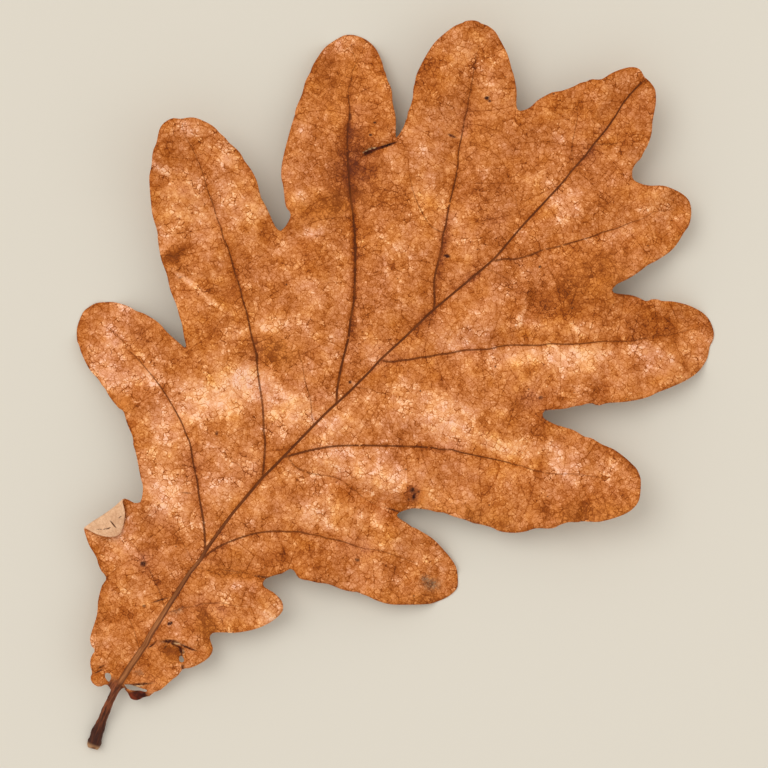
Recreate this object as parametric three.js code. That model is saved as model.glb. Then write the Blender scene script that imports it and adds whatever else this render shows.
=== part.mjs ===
import * as THREE from "three";

// A fallen, dried leaf of English oak (Quercus robur), lying with its upper face up.
// It grew in one piece: petiole, midrib, side veins and lobed blade are one body.
// Millimetres. +Y runs along the midrib from the petiole to the apex, +Z is up.
// The coordinates below are of the flat blade, about a point near its middle.

// ---------------------------------------------------------------- driving dimensions
const BLADE_THICKNESS = 0.3; // dry lamina, a little stout so that it stays a solid
const RIM_HALF = 0.12; // half the thickness of the margin
const PETIOLE_TOP = -57; // where the petiole ends and the blade begins, along Y
const MIDRIB_RADIUS_BASE = 0.62;
const MIDRIB_RADIUS_TIP = 0.14;
const VEIN_HALF_WIDTH = 0.42; // side veins stand out under the blade
const VEIN_RIDGE_BASE = 0.36;
const VEIN_RIDGE_TIP = 0.1;
const PILLOW_HEIGHT = 0.9; // the blade swells up between its veins
const PILLOW_REACH = 3.6;
const FRILL_REACH = 3.2; // the margin is more crinkled than the middle
const RELIEF_STIFFNESS = 0.6;
const FOLD_RADIUS = 0.45; // the lobe tip that is folded over
const FLAP_LIFT = 0.05; // radians
const EDGE_TOLERANCE = 0.12;
const EDGE_STEP = 2.1;
const GRID_STEP = 2.55;
const RIB_STEP = 2.0;
const VEIN_STEP = 2.4;
const PETIOLE_STEP = 0.9;
const LEAF_COLOUR = 0xb87440;

// Waves of the dried blade: wave numbers along X and Y, phase, height in the middle, extra height at the margin.
const WAVES = [
  [0.42, 0.31, 0.6, 0.16, 0.1],
  [-0.27, 0.52, 2.1, 0.15, 0.12],
  [0.71, -0.38, 4.0, 0.1, 0.16],
  [0.12, 0.83, 1.3, 0.07, 0.18],
  [-0.95, -0.24, 5.2, 0.06, 0.16],
  [1.08, 0.66, 3.3, 0.05, 0.12],
  [-0.6, 1.16, 0.9, 0.04, 0.1],
];

// Petiole from the blade down to its swollen foot: X, Y and radius.
const PETIOLE = [
  [-1.79, -55.32, 0.64], [-1.55, -56.56, 0.51], [-1.36, -57.3, 0.48], [-0.99, -58.7, 0.55], [-0.55, -60.09, 0.57],
  [0.04, -61.8, 0.71], [0.43, -62.86, 0.83], [0.78, -63.71, 0.9], [0.99, -64.25, 0.86], [1.13, -64.57, 0.62],
];

// Midrib, from the base of the blade to the apex.
const MIDRIB = [
  [-1.79, -55.32], [-2.19, -52.34], [-2.47, -48.77], [-3.14, -44.47], [-4.04, -37.16], [-4.02, -35.19], [-4.36, -32.84], [-4.71, -27.45],
  [-4.68, -20.6], [-4.45, -18.71], [-3.66, -8.6], [-3.02, -3.94], [-2.59, 0.44], [-2.55, 2.2], [-1.92, 6.66], [-1.35, 11.82],
  [0.69, 23.11], [0.77, 28.61], [1.26, 37.71], [1.16, 39.25], [1.31, 42.16], [1.16, 43.99], [1.2, 46.65], [0.99, 49.17],
  [0.68, 50.89], [0.67, 53.22], [0.8, 54.77],
];

// Side veins, each from the midrib outwards.
const VEINS = {
  left_1: [
    [-4.32, -33.51], [-6.83, -30.82], [-10.44, -27.7], [-11.19, -26.89], [-13.16, -25.46], [-15.56, -23.32], [-16.7, -22.83], [-17.81, -22.13],
    [-23.52, -20.03], [-28.24, -19.09], [-29.58, -18.97], [-30.29, -19.04], [-30.73, -18.64], [-31.04, -18.54], [-34.14, -18.23],
  ],
  left_2: [
    [-4.68, -20.7], [-6.77, -17.66], [-7.78, -16.41], [-8.37, -15.92], [-10.79, -13.25], [-15.02, -9.39], [-16.12, -8.15], [-17.91, -6.93],
    [-21.48, -4.14], [-22.61, -3.46], [-23.79, -2.46], [-25.45, -1.5], [-28.76, 0.79], [-29.91, 1.28], [-31.36, 2.41], [-32.86, 3.14],
    [-33.61, 3.79], [-35.94, 5.09], [-38.06, 6.56], [-40.88, 8], [-43.49, 9.08], [-44.58, 9.97],
  ],
  left_3: [
    [-3.33, -6.18], [-4.09, -5.36], [-6.38, -1.34], [-7.99, 2], [-9.16, 3.73], [-10.54, 6.19], [-12.28, 8.52], [-16.26, 13.31],
    [-20.66, 17.57], [-23.26, 20.27], [-25.82, 23.18], [-27.91, 26.3], [-29.08, 27.31], [-29.78, 28.16], [-30.23, 29.41], [-30.97, 30.41],
    [-31.37, 32.06], [-32.56, 32.51], [-33.45, 33.21],
  ],
  left_4: [
    [-1.3, 12.41], [-1.84, 13.21], [-3.83, 15.52], [-5.94, 19.7], [-6.76, 20.82], [-7.39, 22.28], [-8.53, 24.21], [-11.3, 29.64],
    [-12.49, 31.17], [-13.95, 33.92], [-14.85, 35.33], [-15.45, 36.81], [-16.11, 37.7], [-16.72, 38.99], [-18.98, 42.69], [-19.7, 44.06],
    [-19.81, 44.51],
  ],
  left_5: [
    [1.08, 39.9], [0.02, 40.82], [-1.05, 42.09], [-2.85, 45.45], [-3.69, 46.55], [-4.79, 48.51],
  ],
  left_0: [
    [-3.24, -43.49], [-5.5, -41.95], [-7.89, -40.87], [-8.76, -40.33], [-9.77, -40.09], [-10.52, -39.64], [-15.52, -38.75],
  ],
  left_low: [
    [-2.42, -50], [-3.22, -49.58], [-4, -48.9], [-6.04, -47.7], [-7.44, -47], [-8.9, -46.74],
  ],
  right_1: [
    [-3.12, -44.6], [-2.73, -43.34], [-2.08, -42.39], [-1.77, -41.68], [-0.58, -40.51], [-0.06, -39.62], [2.08, -37.65], [3.72, -36.81],
    [6.26, -34.88], [6.6, -34.43],
  ],
  right_2: [
    [-4.06, -35], [-3.39, -32.34], [-2.35, -30.13], [-0.54, -27.32], [1.69, -25.03], [2.94, -24.16], [3.63, -23.46], [5.54, -22.51],
    [6.45, -21.89], [7.59, -21.52], [8.27, -21.05], [9.95, -20.25], [12.42, -19.32], [13.89, -18.28], [19.22, -16.25],
  ],
  right_sinus: [
    [-3.78, -16.26], [-2.92, -16.62], [-1.88, -16.6], [-0.15, -16.09], [0.98, -15.5], [2, -14.77], [4.28, -13.85], [5.44, -14],
    [6.4, -13.81], [7.63, -13.97], [8.3, -13.92], [10.77, -13.21], [12.6, -12.39],
  ],
  right_3: [
    [-4.27, -16.75], [-1.93, -13.5], [0.47, -10.76], [9.4, -3.54], [10.99, -2.42], [11.89, -1.98], [12.78, -1.11], [13.87, -0.68],
    [20.02, 2.53], [20.98, 2.88], [21.79, 3.42], [23.23, 3.86], [25.95, 5.34], [28.52, 7.44], [32.26, 9.66],
  ],
  right_4: [
    [-2.14, 2.36], [-0.99, 3.14], [-0.29, 4.03], [0.63, 4.88], [1.58, 6.12], [2.39, 6.88], [3.34, 8.12], [4.04, 8.78],
    [5.54, 10.66], [8.3, 13.19], [8.92, 14.18], [9.89, 15.18], [13.6, 18.29], [14.3, 19.19], [15.01, 19.63], [17.03, 21.31],
    [19.76, 24.09], [22.73, 26.58], [23.56, 27.75], [24.12, 28.28], [24.44, 28.86], [26.43, 30.79], [27.88, 32.95], [28.71, 33.68],
  ],
  right_5: [
    [0.97, 22.91], [1.64, 23.83], [2.61, 24.61], [3.28, 24.92], [3.62, 25.78], [4.27, 26.71], [5.16, 28.48], [5.92, 29.29],
    [7.23, 31.19], [9.23, 34.2], [9.91, 35.54], [11.08, 37.16], [11.82, 38.65], [13.07, 40.62], [13.53, 42.24], [14.54, 43.19],
    [15.24, 44.08],
  ],
  right_6: [
    [1.16, 43.93], [1.51, 44.38], [3.2, 45.81], [3.93, 46.66], [4.41, 47.58], [4.33, 48.35],
  ],
  between_2: [
    [-3.93, -10.44], [-4.57, -10.08], [-6.32, -8.3], [-9.12, -6.3], [-10.23, -5.25], [-11.97, -4.16], [-12.58, -3.45], [-12.68, -3.14],
  ],
  between_3: [
    [-7.35, 21.23], [-8.22, 20.99], [-9.33, 21.03], [-11.17, 21.66], [-13.97, 23.12], [-16.2, 24.86], [-17.35, 25.35], [-17.74, 25.74],
  ],
  between_1: [
    [-6.33, -22.51], [-6.45, -22.05], [-7.08, -21.69], [-9.27, -21.35], [-10.78, -21.47], [-11.29, -21.4], [-13.38, -20.08],
  ],
  between_4: [
    [0.8, 28.53], [0.77, 29.57], [0.59, 29.96], [-0.85, 30.21], [-3.9, 32.9],
  ],
  between_0: [
    [-3.96, -36], [-6.33, -35.14], [-7.79, -34.5], [-9.38, -34.02], [-10.83, -33.78], [-11.49, -33.97],
  ],
  between_r4: [
    [0.82, 21.35], [1.13, 21.64], [3.4, 21.93], [5.09, 22.49], [6.64, 23.66],
  ],
  between_r3: [
    [-2.1, -2.46], [-1.85, -2.1], [-1.5, -1.88], [0, -1.52], [1.86, -0.51], [3.28, -0.07], [3.51, 0.15], [3.47, 0.36],
  ],
  between_r1: [
    [-3.84, -36.79], [-4.01, -36.29], [-3.73, -35.84], [-2.73, -35.66], [-2, -35.33], [-1.14, -35.24], [-0.52, -34.35], [0.68, -34],
    [0.93, -32.98], [1.19, -32.67], [1.87, -32.4], [3.27, -31.49], [4.04, -31.34],
  ],
};

// Margin of the blade, from the left of the petiole round the apex to its right.
// The folded lobe tip is laid out flat here.
const BLADE_EDGE = [
  [-2.49, -56.53], [-2.84, -56.44], [-3.12, -56.53], [-3.54, -57.33], [-3.91, -57.53], [-4.62, -57.58], [-5.31, -57.24], [-5.55, -56.55],
  [-6.36, -55.96], [-6.81, -55.44], [-7.12, -54.79], [-7.27, -53.84], [-8.01, -53.73], [-8.58, -53.31], [-8.93, -52.88], [-10.24, -49.83],
  [-11.29, -48.36], [-11.62, -47.74], [-12.24, -46.27], [-12.27, -45.49], [-12.42, -45.17], [-12.83, -44.97], [-13.58, -44.86], [-14.77, -44.24],
  [-15.22, -43.88], [-17.18, -43.18], [-18.68, -42.27], [-20.57, -40.95], [-21.1, -40.52], [-21.53, -40.03], [-21.9, -39.38], [-22.14, -38.68],
  [-22.19, -38.15], [-21.97, -37.44], [-20.52, -36.31], [-19.47, -35.75], [-18.2, -35.45], [-17.21, -34.98], [-16.13, -34.76], [-15.59, -34.31],
  [-15.51, -34.06], [-15.72, -33.52], [-15.99, -33.02], [-16.76, -32.04], [-17.48, -31.56], [-19.99, -29.51], [-20.79, -28.92], [-21.2, -28.71],
  [-22.05, -27.84], [-23.8, -26.91], [-25.36, -25.87], [-25.54, -25.84], [-25.94, -25.96], [-26.52, -25.91], [-28.2, -25.53], [-29.37, -25.07],
  [-29.95, -25], [-30.74, -24.72], [-32.36, -24.48], [-33.01, -24.3], [-35.34, -23.18], [-35.92, -22.75], [-36.35, -22.58], [-36.86, -22.1],
  [-37.55, -21.24], [-37.82, -20.73], [-38.25, -19.48], [-38.38, -18.87], [-38.34, -18.38], [-37.81, -16.85], [-36.94, -15.94], [-35.97, -15.15],
  [-33.99, -14.3], [-32.87, -14.13], [-31.92, -13.75], [-31.31, -13.62], [-30.09, -13.43], [-28.95, -13.44], [-27.75, -13.65], [-25.91, -13.74],
  [-24.54, -13.76], [-24.38, -13.75], [-24.26, -13.64], [-24.63, -13.22], [-25.33, -12.72], [-26.9, -11.36], [-27.56, -10.98], [-28.95, -9.97],
  [-31.05, -8.83], [-32.8, -7.49], [-34.76, -6.34], [-36.98, -4.41], [-37.44, -3.89], [-39.68, -2.33], [-40.59, -1.47], [-42.82, 0.82],
  [-43.43, 1.58], [-44.08, 2.84], [-44.81, 3.85], [-45.28, 4.72], [-45.46, 5.46], [-46.41, 7.37], [-46.5, 8.17], [-46.36, 8.88],
  [-45.95, 9.68], [-45.02, 10.3], [-44.68, 10.75], [-43.88, 11.52], [-43.24, 11.83], [-41.62, 12.27], [-40.62, 12.36], [-39.78, 12.21],
  [-38.64, 12.19], [-37.98, 12.03], [-35.92, 11.93], [-34.57, 11.44], [-33.38, 11.16], [-32.46, 10.85], [-31.5, 10.38], [-29.54, 8.97],
  [-28.34, 8.51], [-25.53, 7.17], [-24.91, 7.03], [-24.49, 7.22], [-24.41, 7.55], [-24.42, 8.34], [-24.77, 9.67], [-25.18, 10.05],
  [-25.73, 10.13], [-26.16, 10.31], [-28.31, 12.31], [-29.11, 12.9], [-29.91, 13.86], [-30.76, 15.31], [-32.64, 19.32], [-33.27, 20.85],
  [-33.61, 21.4], [-34.32, 23.68], [-35.09, 25.38], [-35.4, 26.88], [-35.64, 27.45], [-35.96, 29.69], [-35.98, 30.62], [-35.82, 31.43],
  [-35.22, 33.17], [-34.94, 33.7], [-34.23, 34.36], [-33.86, 34.57], [-32.62, 35.02], [-31.6, 35.11], [-30.63, 35.01], [-30.01, 34.81],
  [-28.43, 33.96], [-27.76, 33.44], [-27.32, 33.26], [-26.64, 32.74], [-25.29, 32.07], [-23.91, 30.7], [-22.26, 29.37], [-20.68, 27.44],
  [-20.46, 27.28], [-20.36, 27.39], [-20.36, 27.61], [-20.61, 29.21], [-20.92, 29.94], [-21, 30.41], [-21.38, 30.99], [-21.75, 32.12],
  [-22.24, 33.13], [-22.99, 34.16], [-23.4, 35.07], [-23.71, 35.53], [-24.25, 37.43], [-24.49, 38.66], [-24.7, 40.29], [-24.7, 41.3],
  [-24.36, 43.28], [-23.93, 44.71], [-23.54, 45.32], [-23.39, 45.79], [-22.62, 46.59], [-21.99, 46.92], [-21.49, 46.97], [-20.67, 47.28],
  [-20.02, 47.36], [-19.23, 47.34], [-18.61, 47.13], [-15.89, 45.97], [-14, 44.66], [-13.72, 44.53], [-11.77, 42.91], [-10.46, 41.3],
  [-9.97, 40.99], [-9.72, 41.01], [-9.41, 41.29], [-8.9, 42.19], [-8.62, 43.9], [-8.21, 45.04], [-7.75, 46.01], [-7, 46.84],
  [-5.96, 48.62], [-5.61, 49.5], [-5.15, 50.02], [-4.83, 50.73], [-4.06, 51.32], [-3.68, 51.73], [-3.21, 53.11], [-2.52, 54.45],
  [-1.75, 55.47], [-1.32, 55.81], [-0.81, 56.07], [-0.09, 56.01], [0.59, 55.68], [1.26, 55.69], [2.01, 55.59], [2.79, 55.34],
  [3.33, 54.89], [4.13, 53.93], [5.38, 51.73], [6.39, 50.24], [7.02, 48.6], [7.2, 47.49], [7.42, 46.77], [7.34, 45.8],
  [7.42, 45.06], [7.71, 44.5], [8.25, 43.87], [8.57, 43.77], [9.44, 43.91], [10.73, 44.53], [12.23, 45.75], [13.3, 46.19],
  [14.64, 46.53], [15.5, 46.59], [16.33, 46.43], [17.16, 45.86], [17.79, 45.12], [18.34, 44.14], [18.51, 43.56], [18.55, 42.68],
  [18.83, 40.77], [18.76, 39.4], [18.04, 37.01], [17.6, 36.03], [17.24, 34.5], [16.7, 32.77], [16, 31.23], [15.91, 30.44],
  [16.06, 30.03], [16.48, 30], [18.49, 31.26], [19.44, 31.64], [20.62, 31.94], [20.82, 32.14], [21.09, 32.68], [21.63, 33.12],
  [22.31, 33.38], [23.3, 34.14], [24.65, 34.89], [25.87, 35.37], [27.75, 35.71], [28.99, 35.53], [30.3, 34.82], [30.71, 34.44],
  [31.03, 33.99], [31.27, 33.29], [31.29, 32.94], [32.14, 31.31], [32.34, 30.22], [32.39, 29.36], [32.11, 27.84], [30.78, 24.89],
  [29.77, 23.07], [29.41, 22.2], [28.52, 20.9], [27.14, 19.3], [25.4, 17.63], [24.79, 16.72], [24.56, 16.56], [23.86, 16.33],
  [23.17, 15.63], [22.98, 15.22], [22.29, 14.52], [21.54, 13.49], [19.62, 11.58], [19.42, 11.24], [19.59, 10.66], [20.11, 10.44],
  [20.72, 10.52], [21.97, 10.84], [24.35, 11.82], [26.1, 12.1], [26.84, 12.51], [28.43, 12.76], [30.32, 13.3], [32.2, 13.42],
  [33.47, 13.36], [34.41, 13.24], [35.24, 12.85], [35.72, 12.53], [37.22, 10.53], [37.52, 9.7], [37.54, 9.18], [37.41, 8.17],
  [36.94, 7.05], [35.6, 4.97], [34.97, 4.22], [33.21, 2.87], [32.76, 2.33], [31.89, 1.64], [31.13, 0.46], [30.81, -0.3],
  [30.22, -0.9], [28.93, -1.94], [28.04, -3.25], [27.38, -3.98], [26.32, -4.86], [25.08, -5.54], [24.45, -5.64], [22.72, -6.37],
  [21.74, -6.93], [20.87, -7.19], [18.87, -8.03], [17.74, -8.4], [16.82, -9.02], [16.02, -9.36], [14.15, -10.57], [13.63, -11.17],
  [12.89, -12.5], [12.9, -12.86], [13.08, -12.96], [13.59, -13], [14.92, -12.8], [15.57, -12.8], [16.03, -12.62], [16.97, -12.45],
  [18.93, -12.21], [21.37, -12.49], [22.59, -12.73], [23.94, -13.23], [25.25, -14.49], [25.73, -15.16], [25.8, -15.47], [25.76, -16.22],
  [25.46, -17.27], [24.63, -18.87], [24.3, -19.34], [21.92, -21.47], [19.83, -23.06], [18.07, -23.76], [17.02, -24], [16.06, -24.36],
  [15.58, -24.44], [15.03, -24.86], [13.78, -25.52], [11.68, -26.24], [10.26, -27.13], [9.47, -27.48], [8.5, -28.04], [7.89, -28.15],
  [7.09, -27.86], [6.57, -27.81], [6.29, -27.97], [5.78, -29.32], [5.41, -29.74], [4.53, -31.28], [4.56, -31.63], [4.73, -32.03],
  [4.96, -32.2], [5.64, -32.18], [6.57, -32.01], [7.69, -32.06], [8.25, -32.17], [8.84, -32.58], [9.17, -33.03], [9.24, -33.86],
  [8.95, -35.3], [8.19, -36.99], [7.2, -38.4], [5.87, -39.83], [4.87, -40.58], [3.67, -41.72], [3.65, -42.1], [3.94, -42.57],
  [5.15, -43.36], [5.46, -44.37], [5.37, -45.08], [5.06, -46.01], [4.38, -47.37], [3.72, -48.09], [3.74, -49.2], [3.48, -50.32],
  [3.32, -51.54], [3.14, -52.37], [2.63, -53.28], [2.6, -53.89], [2.05, -54.53], [1.76, -55.26], [1.48, -55.58], [0.98, -55.83],
  [0.72, -55.85], [0.04, -55.51], [-0.67, -55.38], [-0.7, -55.23], [-0.81, -55.2], [-1.06, -55.55], [-1.08, -56.08],
];

// Small tears right through the blade near its base.
const TEARS = [
  [
    [-4.02, -55.44], [-3.7, -55.73], [-3.26, -55.93], [-3.07, -55.94], [-3.25, -55.54], [-3.56, -55.26], [-3.85, -55.22], [-3.97, -55.29],
  ],
  [
    [2.37, -47.1], [2.66, -47.41], [2.87, -47.5], [3.02, -47.46], [3.06, -47.28], [2.86, -47.06], [2.57, -46.92], [2.39, -46.91],
  ],
  [
    [-0.88, -54.9], [-0.48, -54.51], [0.31, -54.17], [0.98, -53.89], [1.62, -53.66], [1.62, -53.88], [0.93, -54.27], [0.38, -54.69], [-0.27, -54.98],
  ],
];

// The fold of the lobe tip.
const FOLD_FROM = [-19.1, -41.89];
const FOLD_TO = [-17.57, -35.19];

// Height of the middle surface at places of the blade: X, Y, Z.
const HEIGHTS = [
  [0.9, -64, 0.3], [-0.5, -60.1, 1.25], [-1.3, -57.4, 2.1], [-1.8, -55.3, 2.5], [-2.5, -48.8, 3.2], [-3.3, -42.8, 3.9], [-4.3, -33.6, 4.6], [-4.7, -20.6, 4.9],
  [-3.7, -8.6, 4.7], [-2.5, 2.2, 4.5], [-1.4, 11.8, 4.5], [0.7, 23, 4.3], [1.3, 37.7, 4.4], [1.1, 46.6, 5], [0.5, 55.1, 7], [-4.4, 49.9, 5.6],
  [3.6, 45.1, 4.6], [-19, -41.7, 3.6], [-17.5, -35.3, 4.1], [-14.1, -43.3, 3.1], [-8.5, -53.1, 4.2], [-4.6, -57.4, 3.6], [-5.9, -43.7, 3.6], [-37.1, -18.5, -0.45],
  [-36.1, -22.9, 0.9], [-33.6, -16.7, 1.2], [-31, -18.7, 1.9], [-26.2, -26, 2.6], [-23.5, -20.2, 3.6], [-15.3, -23.6, 4.4], [-17.8, -32, 4], [-24, -13.8, 5],
  [-44.3, 10.3, 8.6], [-43, 1.1, 6.6], [-37.9, 10.6, 6.8], [-34.1, 3.9, 5.6], [-28.8, 8.3, 4.9], [-24.6, -2.6, 4.9], [-32.5, -8.3, 4.5], [-13.3, -11.2, 4.7],
  [-24.3, 7.4, 3.9], [-34.3, 34, -0.4], [-36.1, 29.2, 0.9], [-29, 34.2, 1.3], [-29.1, 27.8, 2.1], [-32.7, 19.5, 3.4], [-22.9, 29.4, 3.9], [-22.7, 19.6, 3.9],
  [-14.4, 10.4, 4.6], [-7.7, -0.3, 4.7], [-20, 27.1, 5], [-22.5, 46.4, 7.6], [-23.7, 38.6, 6.2], [-15.4, 45.5, 5.4], [-15.5, 36.4, 5.1], [-20.9, 31.9, 5.5],
  [-10.4, 41, 4.1], [-9.6, 26.9, 4.5], [-4.8, 17.4, 4.8], [-7.9, 44.5, 4.5], [-3.4, 45.5, 4.6], [17.1, 45.8, 3.4], [13.1, 45.8, 5.4], [18.4, 40.2, 2.4],
  [8.4, 43.6, 4.6], [12.4, 40.6, 4.2], [8.3, 33.5, 4.2], [4.7, 53.1, 5.8], [7.5, 48.3, 5], [16.3, 30, 4.9], [30.9, 33.9, -0.4], [25.6, 35.4, 1.5],
  [31.8, 28, 1.6], [24.1, 29.7, 2.4], [29, 21.6, 3.6], [18.8, 23.1, 3.9], [24.1, 17.1, 4.6], [9.4, 13.9, 4.6], [19.7, 10.7, 5], [36.4, 11.6, 6.9],
  [29.5, 13.5, 5.7], [37.7, 6.8, 6], [28.4, 7.2, 5], [30.9, -0.2, 4.8], [25.1, -5.1, 3.9], [19.4, 1.7, 4.5], [10.6, -2.9, 4.6], [19, -8.7, 3.8],
  [12.8, -12.4, 4], [25, -14.5, -1.2], [24, -19, 0.8], [21.5, -13.8, 1.2], [17.2, -17.3, 2.2], [19.2, -22.9, 2.4], [12.4, -26.7, 3.6], [10.6, -20.2, 3.4],
  [3.1, -24.1, 4.2], [4.3, -31.3, 4.9], [8.8, -32.6, 4.6], [8.5, -36.8, 4], [4.3, -36.4, 4.2], [0.5, -39.5, 3.9], [3.6, -41.8, 4.3], [5.7, -44, 2.9],
  [3.9, -47.8, 2.3], [3, -52.2, 1.9], [1.3, -55.2, 2.2], [0.6, -48.2, 3.3],
];

// Creases and ridges: from X, Y to X, Y, height (ridges up, creases down) and half width.
const CREASES = [
  [-27.4, -5.8, -23.6, -6.8, 0.55, 0.7], [-44.5, 3, -41.4, 3.8, 0.4, 0.6], [-34, -6.3, -32.4, -2.8, -0.55, 0.8], [-33.2, -6.8, -29.3, -4.1, 0.5, 0.7],
  [8.7, 18.4, 6.6, 23.7, 0.55, 0.65], [9.6, 19, 8.2, 23.3, -0.45, 0.6], [2.5, -14.7, 12.7, -12.3, -0.85, 1.3], [3.3, -12.4, 12.7, -10.1, 0.6, 1.6],
  [-1.1, -33.8, 4.7, -30.8, -0.7, 1.1], [-1.1, -35.4, 5.2, -32.7, 0.45, 1.3], [24.2, 17, 23.4, 18.6, -0.7, 0.8], [30.4, -1.1, 28.2, 2, -0.75, 0.8],
  [33.6, 3, 31.5, 5.2, -0.7, 0.8], [31.9, 0.9, 30.3, 2.9, 0.5, 0.9], [-15.6, -9, -6.5, -7.9, -0.65, 1], [-14.7, -10.4, -4.6, -8.8, 0.5, 1.4],
  [3.5, 14, 24.3, 28.4, 0.75, 1.9], [3.3, 16.9, 17.2, 26.1, -0.35, 1.6], [-23, 22.5, -20.1, 26.8, -0.7, 0.55], [-20.8, 22.5, -19, 26.3, 0.45, 0.9],
  [-25, 9.8, -20, 17.2, -0.55, 0.9], [-23.3, 9.1, -19, 15.5, 0.5, 1.2], [-1.8, -48.6, 3.6, -44.9, -0.5, 0.6], [-1.4, -46.8, 2.7, -44.3, 0.5, 0.8],
  [1.9, -46.3, 3.7, -48, -0.5, 0.6], [-5.4, -56.4, -4.8, -55, -0.35, 0.5], [-26.8, -25.4, -25.9, -21.7, -0.5, 0.9], [-25.7, -26.3, -23.3, -22.6, 0.4, 1],
  [12.5, -9, 14.7, -9.9, 0.7, 0.9], [12.2, -10.8, 13.6, -11.7, -0.4, 0.6], [-22.8, -3.8, -17.7, -7.7, 0.35, 1.2], [-19.9, 5.8, -13.2, 4.2, 0.3, 2],
  [-22.1, 34.5, -18, 36.1, 0.4, 1.3], [-19.9, 37.2, -14.3, 35.9, -0.3, 1.4], [25.2, 25.2, 31.5, 28.3, 0.4, 1.6], [26.3, 6.4, 33.5, 10.8, 0.3, 1.8],
  [4.5, -27.9, 10.8, -24.8, 0.35, 1.8], [16.4, -21.7, 22, -18.8, 0.4, 1.3], [-12.3, -45, -11.7, -43.1, -0.6, 0.7], [-7.3, -53.9, -6.5, -52.5, -0.4, 0.5],
];

// ---------------------------------------------------------------- plane geometry
const along = (a, b, t) => [a[0] + (b[0] - a[0]) * t, a[1] + (b[1] - a[1]) * t];
const gap = (a, b) => Math.hypot(a[0] - b[0], a[1] - b[1]);
const smooth = (lo, hi, v) => {
  const t = Math.min(1, Math.max(0, (v - lo) / (hi - lo)));
  return t * t * (3 - 2 * t);
};

// Nearest place on a polyline: its distance, its share of the polyline's length, and the segment.
function nearest(line, p) {
  let best = { d: Infinity, s: 0 };
  let run = 0;
  for (let i = 0; i + 1 < line.length; i++) {
    const [a, b] = [line[i], line[i + 1]];
    const l = gap(a, b);
    if (l < 1e-9) continue;
    const t = Math.min(
      1,
      Math.max(0, ((p[0] - a[0]) * (b[0] - a[0]) + (p[1] - a[1]) * (b[1] - a[1])) / (l * l)),
    );
    const d = gap(along(a, b, t), p);
    if (d < best.d) best = { d, s: run + t * l };
    run += l;
  }
  best.total = run;
  return best;
}

// Straight-line thinning of an outline that keeps every corner deeper than tol.
function thin(line, tol) {
  const keep = new Array(line.length).fill(false);
  keep[0] = keep[line.length - 1] = true;
  const stack = [[0, line.length - 1]];
  while (stack.length) {
    const [i, j] = stack.pop();
    let worst = tol,
      at = -1;
    for (let k = i + 1; k < j; k++) {
      const d = nearest([line[i], line[j]], line[k]).d;
      if (d > worst) [worst, at] = [d, k];
    }
    if (at > 0) {
      keep[at] = true;
      stack.push([i, at], [at, j]);
    }
  }
  return line.filter((_, i) => keep[i]);
}

// Splits every edge of a polyline that is longer than most.
function split(line, most) {
  const out = [line[0]];
  for (let i = 0; i + 1 < line.length; i++) {
    const n = Math.ceil(gap(line[i], line[i + 1]) / most);
    for (let k = 1; k <= n; k++) out.push(along(line[i], line[i + 1], k / n));
  }
  return out;
}

function inside(ring, p) {
  let odd = false;
  for (let i = 0, j = ring.length - 1; i < ring.length; j = i++) {
    const [a, b] = [ring[i], ring[j]];
    if (a[1] > p[1] !== b[1] > p[1] && p[0] < ((b[0] - a[0]) * (p[1] - a[1])) / (b[1] - a[1]) + a[0])
      odd = !odd;
  }
  return odd;
}

// Evenly spaced stations along a smooth curve through the given places.
function stations(line, step) {
  const curve = new THREE.CatmullRomCurve3(
    line.map(([x, y]) => new THREE.Vector3(x, y, 0)),
    false,
    "centripetal",
  );
  const n = Math.max(2, Math.round(curve.getLength() / step));
  return curve.getSpacedPoints(n).map((v) => [v.x, v.y]);
}

// ---------------------------------------------------------------- relief of the dried blade
// A thin-plate surface through the named heights, solved once.
const reliefHeights = (() => {
  const n = HEIGHTS.length,
    m = n + 3;
  const kernel = (r) => (r < 1e-9 ? 0 : r * r * Math.log(r));
  const rows = [];
  for (let i = 0; i < m; i++) rows.push(new Float64Array(m + 1));
  for (let i = 0; i < n; i++) {
    for (let j = 0; j < n; j++) rows[i][j] = kernel(gap(HEIGHTS[i], HEIGHTS[j]));
    rows[i][i] += RELIEF_STIFFNESS;
    [1, HEIGHTS[i][0], HEIGHTS[i][1]].forEach((v, q) => {
      rows[i][n + q] = v;
      rows[n + q][i] = v;
    });
    rows[i][m] = HEIGHTS[i][2];
  }
  for (let c = 0; c < m; c++) {
    let p = c;
    for (let r = c + 1; r < m; r++) if (Math.abs(rows[r][c]) > Math.abs(rows[p][c])) p = r;
    [rows[c], rows[p]] = [rows[p], rows[c]];
    for (let r = 0; r < m; r++) {
      if (r === c) continue;
      const f = rows[r][c] / rows[c][c];
      if (f) for (let q = c; q <= m; q++) rows[r][q] -= f * rows[c][q];
    }
  }
  const w = rows.map((r, i) => r[m] / r[i]);
  return (x, y) => {
    let z = w[n] + w[n + 1] * x + w[n + 2] * y;
    for (let i = 0; i < n; i++) z += w[i] * kernel(Math.hypot(x - HEIGHTS[i][0], y - HEIGHTS[i][1]));
    return z;
  };
})();

// The petiole and the midrib are one tapering rib, from the swollen foot to the apex.
const ribLine = [...PETIOLE.map(([x, y]) => [x, y]).reverse(), ...MIDRIB.slice(1)];
const petioleLength = nearest(ribLine, MIDRIB[0]).s;
function ribRadius(s) {
  if (s <= petioleLength) {
    const marks = PETIOLE.slice().reverse();
    let run = 0;
    for (let i = 0; i + 1 < marks.length; i++) {
      const l = gap(marks[i], marks[i + 1]);
      if (s <= run + l) return marks[i][2] + ((marks[i + 1][2] - marks[i][2]) * (s - run)) / l;
      run += l;
    }
  }
  const t = (s - petioleLength) / (nearest(ribLine, MIDRIB[0]).total - petioleLength);
  return MIDRIB_RADIUS_TIP + (MIDRIB_RADIUS_BASE - MIDRIB_RADIUS_TIP) * Math.pow(1 - t, 1.3);
}

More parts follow.
